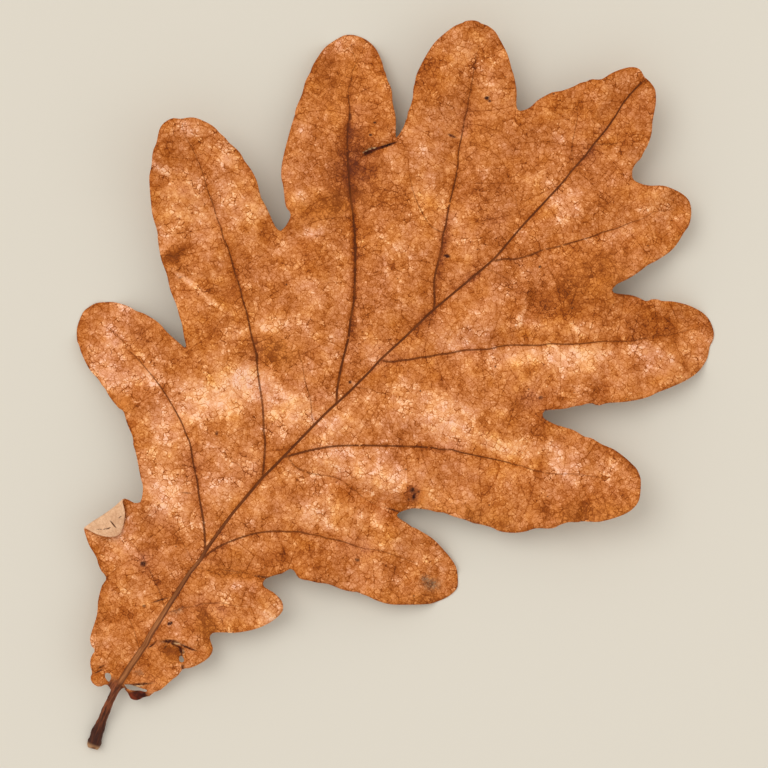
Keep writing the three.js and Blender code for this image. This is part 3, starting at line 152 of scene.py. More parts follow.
BLADE_EDGE = [
    (-2.49, -56.53), (-2.84, -56.44), (-3.12, -56.53), (-3.54, -57.33), (-3.91, -57.53), (-4.62, -57.58), (-5.31, -57.24), (-5.55, -56.55), (-6.36, -55.96),
    (-6.81, -55.44), (-7.12, -54.79), (-7.27, -53.84), (-8.01, -53.73), (-8.58, -53.31), (-8.93, -52.88), (-10.24, -49.83), (-11.29, -48.36), (-11.62, -47.74),
    (-12.24, -46.27), (-12.27, -45.49), (-12.42, -45.17), (-12.83, -44.97), (-13.58, -44.86), (-14.77, -44.24), (-15.22, -43.88), (-17.18, -43.18), (-18.68, -42.27),
    (-20.57, -40.95), (-21.1, -40.52), (-21.53, -40.03), (-21.9, -39.38), (-22.14, -38.68), (-22.19, -38.15), (-21.97, -37.44), (-20.52, -36.31), (-19.47, -35.75),
    (-18.2, -35.45), (-17.21, -34.98), (-16.13, -34.76), (-15.59, -34.31), (-15.51, -34.06), (-15.72, -33.52), (-15.99, -33.02), (-16.76, -32.04), (-17.48, -31.56),
    (-19.99, -29.51), (-20.79, -28.92), (-21.2, -28.71), (-22.05, -27.84), (-23.8, -26.91), (-25.36, -25.87), (-25.54, -25.84), (-25.94, -25.96), (-26.52, -25.91),
    (-28.2, -25.53), (-29.37, -25.07), (-29.95, -25), (-30.74, -24.72), (-32.36, -24.48), (-33.01, -24.3), (-35.34, -23.18), (-35.92, -22.75), (-36.35, -22.58),
    (-36.86, -22.1), (-37.55, -21.24), (-37.82, -20.73), (-38.25, -19.48), (-38.38, -18.87), (-38.34, -18.38), (-37.81, -16.85), (-36.94, -15.94), (-35.97, -15.15),
    (-33.99, -14.3), (-32.87, -14.13), (-31.92, -13.75), (-31.31, -13.62), (-30.09, -13.43), (-28.95, -13.44), (-27.75, -13.65), (-25.91, -13.74), (-24.54, -13.76),
    (-24.38, -13.75), (-24.26, -13.64), (-24.63, -13.22), (-25.33, -12.72), (-26.9, -11.36), (-27.56, -10.98), (-28.95, -9.97), (-31.05, -8.83), (-32.8, -7.49),
    (-34.76, -6.34), (-36.98, -4.41), (-37.44, -3.89), (-39.68, -2.33), (-40.59, -1.47), (-42.82, 0.82), (-43.43, 1.58), (-44.08, 2.84), (-44.81, 3.85),
    (-45.28, 4.72), (-45.46, 5.46), (-46.41, 7.37), (-46.5, 8.17), (-46.36, 8.88), (-45.95, 9.68), (-45.02, 10.3), (-44.68, 10.75), (-43.88, 11.52),
    (-43.24, 11.83), (-41.62, 12.27), (-40.62, 12.36), (-39.78, 12.21), (-38.64, 12.19), (-37.98, 12.03), (-35.92, 11.93), (-34.57, 11.44), (-33.38, 11.16),
    (-32.46, 10.85), (-31.5, 10.38), (-29.54, 8.97), (-28.34, 8.51), (-25.53, 7.17), (-24.91, 7.03), (-24.49, 7.22), (-24.41, 7.55), (-24.42, 8.34),
    (-24.77, 9.67), (-25.18, 10.05), (-25.73, 10.13), (-26.16, 10.31), (-28.31, 12.31), (-29.11, 12.9), (-29.91, 13.86), (-30.76, 15.31), (-32.64, 19.32),
    (-33.27, 20.85), (-33.61, 21.4), (-34.32, 23.68), (-35.09, 25.38), (-35.4, 26.88), (-35.64, 27.45), (-35.96, 29.69), (-35.98, 30.62), (-35.82, 31.43),
    (-35.22, 33.17), (-34.94, 33.7), (-34.23, 34.36), (-33.86, 34.57), (-32.62, 35.02), (-31.6, 35.11), (-30.63, 35.01), (-30.01, 34.81), (-28.43, 33.96),
    (-27.76, 33.44), (-27.32, 33.26), (-26.64, 32.74), (-25.29, 32.07), (-23.91, 30.7), (-22.26, 29.37), (-20.68, 27.44), (-20.46, 27.28), (-20.36, 27.39),
    (-20.36, 27.61), (-20.61, 29.21), (-20.92, 29.94), (-21, 30.41), (-21.38, 30.99), (-21.75, 32.12), (-22.24, 33.13), (-22.99, 34.16), (-23.4, 35.07),
    (-23.71, 35.53), (-24.25, 37.43), (-24.49, 38.66), (-24.7, 40.29), (-24.7, 41.3), (-24.36, 43.28), (-23.93, 44.71), (-23.54, 45.32), (-23.39, 45.79),
    (-22.62, 46.59), (-21.99, 46.92), (-21.49, 46.97), (-20.67, 47.28), (-20.02, 47.36), (-19.23, 47.34), (-18.61, 47.13), (-15.89, 45.97), (-14, 44.66),
    (-13.72, 44.53), (-11.77, 42.91), (-10.46, 41.3), (-9.97, 40.99), (-9.72, 41.01), (-9.41, 41.29), (-8.9, 42.19), (-8.62, 43.9), (-8.21, 45.04),
    (-7.75, 46.01), (-7, 46.84), (-5.96, 48.62), (-5.61, 49.5), (-5.15, 50.02), (-4.83, 50.73), (-4.06, 51.32), (-3.68, 51.73), (-3.21, 53.11),
    (-2.52, 54.45), (-1.75, 55.47), (-1.32, 55.81), (-0.81, 56.07), (-0.09, 56.01), (0.59, 55.68), (1.26, 55.69), (2.01, 55.59), (2.79, 55.34),
    (3.33, 54.89), (4.13, 53.93), (5.38, 51.73), (6.39, 50.24), (7.02, 48.6), (7.2, 47.49), (7.42, 46.77), (7.34, 45.8), (7.42, 45.06),
    (7.71, 44.5), (8.25, 43.87), (8.57, 43.77), (9.44, 43.91), (10.73, 44.53), (12.23, 45.75), (13.3, 46.19), (14.64, 46.53), (15.5, 46.59),
    (16.33, 46.43), (17.16, 45.86), (17.79, 45.12), (18.34, 44.14), (18.51, 43.56), (18.55, 42.68), (18.83, 40.77), (18.76, 39.4), (18.04, 37.01),
    (17.6, 36.03), (17.24, 34.5), (16.7, 32.77), (16, 31.23), (15.91, 30.44), (16.06, 30.03), (16.48, 30), (18.49, 31.26), (19.44, 31.64),
    (20.62, 31.94), (20.82, 32.14), (21.09, 32.68), (21.63, 33.12), (22.31, 33.38), (23.3, 34.14), (24.65, 34.89), (25.87, 35.37), (27.75, 35.71),
    (28.99, 35.53), (30.3, 34.82), (30.71, 34.44), (31.03, 33.99), (31.27, 33.29), (31.29, 32.94), (32.14, 31.31), (32.34, 30.22), (32.39, 29.36),
    (32.11, 27.84), (30.78, 24.89), (29.77, 23.07), (29.41, 22.2), (28.52, 20.9), (27.14, 19.3), (25.4, 17.63), (24.79, 16.72), (24.56, 16.56),
    (23.86, 16.33), (23.17, 15.63), (22.98, 15.22), (22.29, 14.52), (21.54, 13.49), (19.62, 11.58), (19.42, 11.24), (19.59, 10.66), (20.11, 10.44),
    (20.72, 10.52), (21.97, 10.84), (24.35, 11.82), (26.1, 12.1), (26.84, 12.51), (28.43, 12.76), (30.32, 13.3), (32.2, 13.42), (33.47, 13.36),
    (34.41, 13.24), (35.24, 12.85), (35.72, 12.53), (37.22, 10.53), (37.52, 9.7), (37.54, 9.18), (37.41, 8.17), (36.94, 7.05), (35.6, 4.97),
    (34.97, 4.22), (33.21, 2.87), (32.76, 2.33), (31.89, 1.64), (31.13, 0.46), (30.81, -0.3), (30.22, -0.9), (28.93, -1.94), (28.04, -3.25),
    (27.38, -3.98), (26.32, -4.86), (25.08, -5.54), (24.45, -5.64), (22.72, -6.37), (21.74, -6.93), (20.87, -7.19), (18.87, -8.03), (17.74, -8.4),
    (16.82, -9.02), (16.02, -9.36), (14.15, -10.57), (13.63, -11.17), (12.89, -12.5), (12.9, -12.86), (13.08, -12.96), (13.59, -13), (14.92, -12.8),
    (15.57, -12.8), (16.03, -12.62), (16.97, -12.45), (18.93, -12.21), (21.37, -12.49), (22.59, -12.73), (23.94, -13.23), (25.25, -14.49), (25.73, -15.16),
    (25.8, -15.47), (25.76, -16.22), (25.46, -17.27), (24.63, -18.87), (24.3, -19.34), (21.92, -21.47), (19.83, -23.06), (18.07, -23.76), (17.02, -24),
    (16.06, -24.36), (15.58, -24.44), (15.03, -24.86), (13.78, -25.52), (11.68, -26.24), (10.26, -27.13), (9.47, -27.48), (8.5, -28.04), (7.89, -28.15),
    (7.09, -27.86), (6.57, -27.81), (6.29, -27.97), (5.78, -29.32), (5.41, -29.74), (4.53, -31.28), (4.56, -31.63), (4.73, -32.03), (4.96, -32.2),
    (5.64, -32.18), (6.57, -32.01), (7.69, -32.06), (8.25, -32.17), (8.84, -32.58), (9.17, -33.03), (9.24, -33.86), (8.95, -35.3), (8.19, -36.99),
    (7.2, -38.4), (5.87, -39.83), (4.87, -40.58), (3.67, -41.72), (3.65, -42.1), (3.94, -42.57), (5.15, -43.36), (5.46, -44.37), (5.37, -45.08),
    (5.06, -46.01), (4.38, -47.37), (3.72, -48.09), (3.74, -49.2), (3.48, -50.32), (3.32, -51.54), (3.14, -52.37), (2.63, -53.28), (2.6, -53.89),
    (2.05, -54.53), (1.76, -55.26), (1.48, -55.58), (0.98, -55.83), (0.72, -55.85), (0.04, -55.51), (-0.67, -55.38), (-0.7, -55.23), (-0.81, -55.2),
    (-1.06, -55.55), (-1.08, -56.08),
]
TEARS = [
    [
        (-4.02, -55.44), (-3.7, -55.73), (-3.26, -55.93), (-3.07, -55.94), (-3.25, -55.54), (-3.56, -55.26), (-3.85, -55.22), (-3.97, -55.29),
    ],
    [
        (2.37, -47.1), (2.66, -47.41), (2.87, -47.5), (3.02, -47.46), (3.06, -47.28), (2.86, -47.06), (2.57, -46.92), (2.39, -46.91),
    ],
    [
        (-0.88, -54.9), (-0.48, -54.51), (0.31, -54.17), (0.98, -53.89), (1.62, -53.66), (1.62, -53.88), (0.93, -54.27), (0.38, -54.69), (-0.27, -54.98),
    ],
]
FOLD_FROM, FOLD_TO = (-19.1, -41.89), (-17.57, -35.19)
# Height of the middle surface at places of the blade.
HEIGHTS = [
    (0.9, -64, 0.3), (-0.5, -60.1, 1.25), (-1.3, -57.4, 2.1), (-1.8, -55.3, 2.5), (-2.5, -48.8, 3.2), (-3.3, -42.8, 3.9), (-4.3, -33.6, 4.6), (-4.7, -20.6, 4.9), (-3.7, -8.6, 4.7),
    (-2.5, 2.2, 4.5), (-1.4, 11.8, 4.5), (0.7, 23, 4.3), (1.3, 37.7, 4.4), (1.1, 46.6, 5), (0.5, 55.1, 7), (-4.4, 49.9, 5.6), (3.6, 45.1, 4.6), (-19, -41.7, 3.6),
    (-17.5, -35.3, 4.1), (-14.1, -43.3, 3.1), (-8.5, -53.1, 4.2), (-4.6, -57.4, 3.6), (-5.9, -43.7, 3.6), (-37.1, -18.5, -0.45), (-36.1, -22.9, 0.9), (-33.6, -16.7, 1.2), (-31, -18.7, 1.9),
    (-26.2, -26, 2.6), (-23.5, -20.2, 3.6), (-15.3, -23.6, 4.4), (-17.8, -32, 4), (-24, -13.8, 5), (-44.3, 10.3, 8.6), (-43, 1.1, 6.6), (-37.9, 10.6, 6.8), (-34.1, 3.9, 5.6),
    (-28.8, 8.3, 4.9), (-24.6, -2.6, 4.9), (-32.5, -8.3, 4.5), (-13.3, -11.2, 4.7), (-24.3, 7.4, 3.9), (-34.3, 34, -0.4), (-36.1, 29.2, 0.9), (-29, 34.2, 1.3), (-29.1, 27.8, 2.1),
    (-32.7, 19.5, 3.4), (-22.9, 29.4, 3.9), (-22.7, 19.6, 3.9), (-14.4, 10.4, 4.6), (-7.7, -0.3, 4.7), (-20, 27.1, 5), (-22.5, 46.4, 7.6), (-23.7, 38.6, 6.2), (-15.4, 45.5, 5.4),
    (-15.5, 36.4, 5.1), (-20.9, 31.9, 5.5), (-10.4, 41, 4.1), (-9.6, 26.9, 4.5), (-4.8, 17.4, 4.8), (-7.9, 44.5, 4.5), (-3.4, 45.5, 4.6), (17.1, 45.8, 3.4), (13.1, 45.8, 5.4),
    (18.4, 40.2, 2.4), (8.4, 43.6, 4.6), (12.4, 40.6, 4.2), (8.3, 33.5, 4.2), (4.7, 53.1, 5.8), (7.5, 48.3, 5), (16.3, 30, 4.9), (30.9, 33.9, -0.4), (25.6, 35.4, 1.5),
    (31.8, 28, 1.6), (24.1, 29.7, 2.4), (29, 21.6, 3.6), (18.8, 23.1, 3.9), (24.1, 17.1, 4.6), (9.4, 13.9, 4.6), (19.7, 10.7, 5), (36.4, 11.6, 6.9), (29.5, 13.5, 5.7),
    (37.7, 6.8, 6), (28.4, 7.2, 5), (30.9, -0.2, 4.8), (25.1, -5.1, 3.9), (19.4, 1.7, 4.5), (10.6, -2.9, 4.6), (19, -8.7, 3.8), (12.8, -12.4, 4), (25, -14.5, -1.2),
    (24, -19, 0.8), (21.5, -13.8, 1.2), (17.2, -17.3, 2.2), (19.2, -22.9, 2.4), (12.4, -26.7, 3.6), (10.6, -20.2, 3.4), (3.1, -24.1, 4.2), (4.3, -31.3, 4.9), (8.8, -32.6, 4.6),
    (8.5, -36.8, 4), (4.3, -36.4, 4.2), (0.5, -39.5, 3.9), (3.6, -41.8, 4.3), (5.7, -44, 2.9), (3.9, -47.8, 2.3), (3, -52.2, 1.9), (1.3, -55.2, 2.2), (0.6, -48.2, 3.3),
]
# Creases and ridges: from X, Y to X, Y, height, half width.
CREASES = [
    (-27.4, -5.8, -23.6, -6.8, 0.55, 0.7), (-44.5, 3, -41.4, 3.8, 0.4, 0.6), (-34, -6.3, -32.4, -2.8, -0.55, 0.8), (-33.2, -6.8, -29.3, -4.1, 0.5, 0.7),
    (8.7, 18.4, 6.6, 23.7, 0.55, 0.65), (9.6, 19, 8.2, 23.3, -0.45, 0.6), (2.5, -14.7, 12.7, -12.3, -0.85, 1.3), (3.3, -12.4, 12.7, -10.1, 0.6, 1.6),
    (-1.1, -33.8, 4.7, -30.8, -0.7, 1.1), (-1.1, -35.4, 5.2, -32.7, 0.45, 1.3), (24.2, 17, 23.4, 18.6, -0.7, 0.8), (30.4, -1.1, 28.2, 2, -0.75, 0.8),
    (33.6, 3, 31.5, 5.2, -0.7, 0.8), (31.9, 0.9, 30.3, 2.9, 0.5, 0.9), (-15.6, -9, -6.5, -7.9, -0.65, 1), (-14.7, -10.4, -4.6, -8.8, 0.5, 1.4),
    (3.5, 14, 24.3, 28.4, 0.75, 1.9), (3.3, 16.9, 17.2, 26.1, -0.35, 1.6), (-23, 22.5, -20.1, 26.8, -0.7, 0.55), (-20.8, 22.5, -19, 26.3, 0.45, 0.9),
    (-25, 9.8, -20, 17.2, -0.55, 0.9), (-23.3, 9.1, -19, 15.5, 0.5, 1.2), (-1.8, -48.6, 3.6, -44.9, -0.5, 0.6), (-1.4, -46.8, 2.7, -44.3, 0.5, 0.8),
    (1.9, -46.3, 3.7, -48, -0.5, 0.6), (-5.4, -56.4, -4.8, -55, -0.35, 0.5), (-26.8, -25.4, -25.9, -21.7, -0.5, 0.9), (-25.7, -26.3, -23.3, -22.6, 0.4, 1),
    (12.5, -9, 14.7, -9.9, 0.7, 0.9), (12.2, -10.8, 13.6, -11.7, -0.4, 0.6), (-22.8, -3.8, -17.7, -7.7, 0.35, 1.2), (-19.9, 5.8, -13.2, 4.2, 0.3, 2),
    (-22.1, 34.5, -18, 36.1, 0.4, 1.3), (-19.9, 37.2, -14.3, 35.9, -0.3, 1.4), (25.2, 25.2, 31.5, 28.3, 0.4, 1.6), (26.3, 6.4, 33.5, 10.8, 0.3, 1.8),
    (4.5, -27.9, 10.8, -24.8, 0.35, 1.8), (16.4, -21.7, 22, -18.8, 0.4, 1.3), (-12.3, -45, -11.7, -43.1, -0.6, 0.7), (-7.3, -53.9, -6.5, -52.5, -0.4, 0.5),
]
WAVES = [
  [0.42, 0.31, 0.6, 0.16, 0.1],
  [-0.27, 0.52, 2.1, 0.15, 0.12],
  [0.71, -0.38, 4.0, 0.1, 0.16],
  [0.12, 0.83, 1.3, 0.07, 0.18],
  [-0.95, -0.24, 5.2, 0.06, 0.16],
  [1.08, 0.66, 3.3, 0.05, 0.12],
  [-0.6, 1.16, 0.9, 0.04, 0.1],
]

# Marks on the leaf, listed one by one: x, y, radius along, radius across, angle, amount.
# x and y are in the 768 grid of px() below.
# TONE_AND_SHADING: the lamina's own mottling, with painted sheen patches, painted highlights on crease ridges and
# painted shade in folds and by the sinuses.
TONE_AND_SHADING = [
    (532, 353, 48, 11, -6, 13), (410, 330, 16, 14, 0, -9), (279, 424, 20, 12, 40, 10), (468, 241, 14, 12, 0, 9), (379, 392, 16, 10, -30, 8), (632, 142, 12, 16, 0, -9),
    (687, 380, 12, 8, -30, 9), (213, 358, 14, 12, 0, 8), (299, 476, 16, 10, 40, 8), (120, 672, 12, 10, 0, -8), (587, 473, 18, 10, 10, 8), (160, 633, 10, 10, 0, -8),
    (418, 150, 9, 7, 0, 12), (304, 130, 8, 8, 0, 12), (300, 200, 10, 8, 0, 10), (314, 234, 12, 7, 10, 15), (300, 196, 8, 5, 0, 8), (430, 180, 14, 20, 20, 10), (418, 196, 8, 12, 0, 9),
    (392, 240, 30, 10, 4, 4), (226, 192, 10, 14, 30, 9), (226, 160, 8, 7, 0, 11), (170, 190, 9, 8, 0, 11), (268, 238, 10, 6, 20, -14), (264, 226, 6, 8, 0, -14), (296, 400, 12, 14, 40, 12),
    (188, 384, 12, 14, 0, 8), (668, 318, 6, 12, 10, -7), (648, 306, 6, 12, 10, -9), (690, 336, 12, 12, 0, 8), (668, 366, 20, 12, -20, 12), (600, 398, 8, 10, 0, -14), (560, 470, 20, 10, 14, 10),
    (620, 500, 14, 10, 0, -6), (450, 480, 20, 10, 10, -9), (488, 492, 18, 10, 10, -5), (442, 262, 3, 38, 10, -13), (446, 232, 4, 10, 10, -10), (354, 262, 2.6, 84, 1, -14), (349, 130, 2.4, 30, 0, -9),
    (304, 408, 44, 30, 30, 13), (438, 412, 40, 24, 20, 18), (236, 470, 30, 44, 20, 11), (160, 480, 22, 34, 0, 11), (110, 366, 26, 30, -30, 15), (330, 348, 60, 26, 20, 4), (246, 200, 20, 30, -30, 9),
    (498, 176, 34, 34, 30, 4), (440, 216, 24, 24, 0, 10), (340, 52, 18, 18, 0, 4), (576, 362, 40, 14, -8, 16), (560, 300, 40, 20, -20, -11), (650, 332, 40, 18, -10, -11), (430, 76, 26, 24, 60, -14),
    (330, 516, 40, 22, 20, 12), (120, 536, 24, 24, 0, 12), (280, 556, 30, 12, 0, -9), (230, 262, 24, 20, 0, -6), (268, 618, 14, 14, 0, 15), (196, 628, 20, 24, 30, -4), (700, 366, 16, 18, 0, 4),
    (222, 396, 46, 20, -22, 24), (250, 378, 18, 16, 0, 16), (268, 326, 34, 8, -14, 22), (198, 206, 18, 34, -20, 6), (222, 150, 22, 18, -40, 10), (195, 130, 22, 10, -10, 9), (312, 214, 20, 26, 30, 9),
    (448, 76, 20, 26, 40, 8), (470, 52, 20, 14, 0, 4), (560, 198, 30, 18, 20, 8), (560, 326, 90, 8, 4, 8), (640, 348, 60, 9, -3, 7), (520, 446, 60, 10, 8, 15), (600, 470, 34, 10, 10, 4),
    (378, 478, 52, 14, 14, 10), (340, 452, 30, 7, 0, 10), (176, 506, 28, 24, 30, 9), (112, 324, 20, 14, -30, 12), (150, 372, 16, 22, -30, 10), (170, 424, 24, 26, 20, 12), (320, 300, 26, 30, 20, 8),
    (452, 340, 30, 16, 0, 6), (436, 470, 40, 12, 6, 4), (352, 162, 24, 32, 0, -13), (326, 208, 34, 12, -20, -14), (272, 350, 26, 16, 24, -4), (172, 258, 15, 6, -22, -18), (496, 192, 30, 40, 20, -4),
    (596, 268, 44, 20, -20, -6), (547, 508, 8, 12, 0, -15), (584, 505, 5, 12, 14, -13), (410, 494, 10, 10, 0, -24), (244, 574, 34, 5, 8, -10), (172, 652, 10, 8, 30, -27), (206, 620, 8, 16, -20, -13),
    (152, 668, 20, 8, 40, -9), (416, 598, 50, 8, 0, -4), (640, 440, 20, 34, -10, -10), (300, 392, 30, 8, 36, -10), (160, 168, 10, 4, 20, 18), (188, 281, 24, 2.4, 38, 24), (211, 301, 20, 2.4, 36, 22),
    (158, 168, 11, 2.2, 34, 15), (521, 316, 2.4, 13, 22, 26), (180, 251, 14, 4, -16, -16),
]
PURPLE = [
    (413, 494, 8, 9, 0, 0.75), (182, 345, 10, 8, 30, 0.2), (138, 336, 6, 10, -40, 0.3), (512, 376, 8, 10, 0, 0.2), (487, 432, 8, 6, 0, 0.3),
    (441, 262, 4, 36, 10, 0.45), (354, 330, 5, 40, 8, 0.3), (404, 356, 24, 5, -6, 0.35), (466, 276, 26, 6, -40, 0.25),
    (356, 164, 22, 26, 0, 0.55), (340, 190, 12, 14, 0, 0.2), (382, 353, 14, 10, 40, 0.5), (184, 188, 9, 9, 0, 0.4),
    (194, 464, 10, 20, 0, 0.45), (206, 602, 18, 8, 0, 0.4), (221, 610, 12, 8, 0, 0.5), (494, 222, 12, 10, 0, 0.4),
    (444, 230, 8, 22, 10, 0.4), (356, 550, 18, 12, 10, 0.45), (471, 350, 12, 6, 0, 0.35), (448, 447, 16, 6, 0, 0.35),
    (143, 561, 12, 12, 0, 0.5), (160, 519, 16, 10, 20, 0.35), (255, 352, 8, 18, 0, 0.35), (354, 280, 6, 16, 0, 0.3),
    (590, 156, 12, 10, 0, 0.35), (532, 398, 12, 10, 0, 0.5), (140, 372, 10, 8, 0, 0.3), (246, 470, 14, 20, 20, 0.3),
    (324, 398, 14, 10, 30, 0.3), (152, 640, 10, 10, 0, 0.25), (466, 110, 6, 14, 0, 0.3), (208, 556, 12, 12, 0, 0.3),
    (354, 120, 8, 20, 0, 0.35), (150, 682, 12, 8, 0, 0.35), (500, 98, 8, 8, 0, 0.2), (226, 540, 16, 6, -20, 0.25),
]
OCHRE = [
    (330, 206, 40, 14, -20, 0.7), (274, 350, 26, 20, 0, 0.7), (345, 90, 30, 50, 0, 0.3), (590, 514, 54, 14, -4, 0.6),
    (418, 497, 10, 12, 0, 0.7), (244, 574, 38, 9, 8, 0.7), (172, 258, 18, 14, 0, 0.5), (600, 272, 46, 24, -20, 0.45),
    (172, 652, 14, 12, 20, 0.6), (206, 622, 10, 16, -20, 0.6), (120, 404, 16, 12, 0, 0.6), (470, 124, 30, 40, 0, 0.25), (230, 520, 24, 10, 40, 0.25),
    (100, 600, 8, 40, 0, 0.35), (420, 600, 50, 9, 0, 0.5), (470, 512, 44, 10, 16, 0.5), (212, 632, 14, 12, 0, 0.5),
    (152, 684, 14, 10, 0, 0.5), (640, 450, 24, 40, 0, 0.3), (280, 96, 40, 60, 0, 0.15), (690, 350, 24, 40, 0, 0.2),
]
# DARK_MARKS_AND_SHADE: spots, tears and a crevice, and painted shade along fold lines by the sinuses and at the folded
# auricle.
DARK_MARKS_AND_SHADE = [
    (143, 564, 3.2, 3.0, 0, 0.75), (170, 623.5, 2.6, 1.7, -30, 1.1), (412, 490, 2.2, 2.4, 0, 0.8), (414, 496, 1.7, 4.0, 14, 0.8), (418, 492, 1.6, 1.2, 0, 0.7), (409, 499, 1.3, 1.6, 0, 0.6), (357, 560, 2.4, 2.0, 0, 0.6),
    (487, 98, 2.6, 1.8, 0, 0.9), (490, 101, 1.6, 1.4, 0, 0.8), (452, 136, 5.0, 1.5, 22, 0.75), (447, 256, 3.6, 1.8, 10, 0.9),
    (371, 135, 1.8, 1.4, 0, 0.8), (375, 123, 1.5, 1.3, 0, 0.8), (350, 117, 2.0, 5.0, 0, 0.5), (257, 357, 2.2, 5.0, 0, 0.5),
    (350, 382, 1.7, 1.7, 0, 0.8), (384, 146.6, 13, 1.9, -18, 1.15), (371, 151.5, 7, 2.2, -30, 1.0), (366, 152.5, 2.4, 2.0, -50, 0.9), (152, 645, 5.5, 1.1, -42, 0.8),
    (170, 641, 9.0, 1.5, 2, 0.85), (176, 645, 7.0, 1.0, 24, 0.7), (188, 647, 10.0, 1.1, 24, 0.8), (181, 651, 1.8, 6.0, -10, 0.85), (183, 667, 2.2, 3.0, 0, 0.6), (166, 646, 1.0, 5.0, 30, 0.5),
    (99, 671, 5.0, 1.1, -30, 0.7), (101, 666, 4.5, 0.9, -24, 0.5), (160, 600, 9.0, 1.0, -18, 0.7), (397, 511, 12.0, 1.4, 18, 0.55),
    (262, 577, 9.0, 1.5, 8, 0.55), (541, 398, 2.5, 2.0, 0, 0.6), (540, 267, 1.5, 1.5, 0, 0.7), (572, 308, 1.4, 1.4, 0, 0.6),
    (180, 277, 4.0, 1.2, -20, 0.3), (187, 493, 6.0, 0.9, 4, 0.45), (217, 433, 1.8, 2.4, 0, 0.6), (140, 684, 14, 1.4, -4, 0.7),
    (430, 583, 6.0, 4.0, 10, 0.3), (116, 681, 3, 2, 0, 0.4), (144, 606, 2.0, 1.6, 0, 0.5), (230, 571, 12, 1.2, 8, 0.3),
]
MOULD = [
    (431, 584, 9, 6, 10, 0.75), (424, 578, 4, 3, 0, 0.5), (139, 673, 4, 2.4, 0, 0.5), (178, 611, 7, 3, -20, 0.4),
]
DEBRIS = [
    (369, 149.5, 4.5, 1.0, -30, 1.1), (374, 148.0, 3, 0.8, -18, 0.9), (364, 152.5, 2.2, 0.9, -60, 0.9), (177, 643, 5, 0.8, 10, 0.8),
    (184, 651, 1.0, 4, -10, 0.8), (138, 686, 9, 0.9, -4, 0.8), (127, 690, 3, 0.8, 60, 0.7), (489, 96.5, 1.6, 0.8, 20, 0.8),
]
VEINLETS = [(111, 522, 5.2, 0.75, 52, 1.1), (106, 527, 3.6, 0.7, -28, 1.0), (99, 529, 4.5, 0.6, -8, 0.7), (118, 514, 4.0, 0.6, -50, 0.7)]
SCRAP = [(137, 695.5, 11, 5.4, -6, 1.7)]
FLOOR_RGB = (214, 207, 193)
SKY = 0.84
# name, from the right, from above, elevation, power, angle
SUNS = [("key", -0.9, 0.75, 58, 0.93, 40), ("fill", 0.9, -0.2, 40, 0.12, 30)]

SHIFT = np.array([4.4805, 4.3682])  # the flat pattern's own origin, in the row frame
THICK = 0.24  # dry lamina
RIM_HALF = 0.075
RIB_BASE, RIB_TIP = 0.62, 0.14
VEIN_HALF = 0.42
RIDGE_BASE, RIDGE_TIP = 0.36, 0.10
PILLOW, PILLOW_REACH, FRILL_REACH = 0.9, 3.6, 3.2
FOLD_R, FLAP_LIFT = 0.45, 0.05
PETIOLE_TOP = -57.0
GRID = 0.44
CAM_LENS, SENSOR, FRAME_MM, MID_Z = 200.0, 36.0, 106.29, 4.2
CAM_D = FRAME_MM / SENSOR * CAM_LENS  # from the middle of the relief, in mm


def px(*points):
    """Places read off in a 768 grid that looks straight down on the leaf, as flat-pattern millimetres."""
    p = np.array(points, float).reshape(-1, 2)
    a, b = (p[:, 0] - 384) * 0.1384, (384 - p[:, 1]) * 0.1384
    c, s = math.cos(math.radians(39.65)), math.sin(math.radians(39.65))
    return np.stack([c * a - s * b, s * a + c * b], 1)


# ------------------------------------------------------------------ flat pattern helpers
def nearest(P, line):
    """Distance, arc position, total length and signed side of every point of P from a polyline."""
    line = np.asarray(line, float)
    best = np.full(len(P), 1e9)
    arc = np.zeros(len(P))
    side = np.ones(len(P))
    run = 0.0
    for a, b in zip(line[:-1], line[1:]):
        d = b - a
        l2 = float(d @ d)
        if l2 < 1e-12:
            continue
        l = math.sqrt(l2)
        q = P - a
        raw = (q @ d) / l2
        t = np.clip(raw, 0, 1)
        e = q - t[:, None] * d
        dist = e[:, 0] ** 2 + e[:, 1] ** 2
        m = dist < best
        best[m] = dist[m]
        arc[m] = run + t[m] * l
        side[m] = np.sign(d[0] * q[m, 1] - d[1] * q[m, 0] + 1e-12)
        run += l
    return np.sqrt(best), arc, run, side


def inside(P, ring):
    ring = np.asarray(ring, float)
    odd = np.zeros(len(P), bool)
    x, y = P[:, 0], P[:, 1]
    for a, b in zip(ring, np.roll(ring, 1, 0)):
        if a[1] == b[1]:
            continue
        m = ((a[1] > y) != (b[1] > y)) & (x < (b[0] - a[0]) * (y - a[1]) / (b[1] - a[1]) + a[0])
        odd ^= m
    return odd


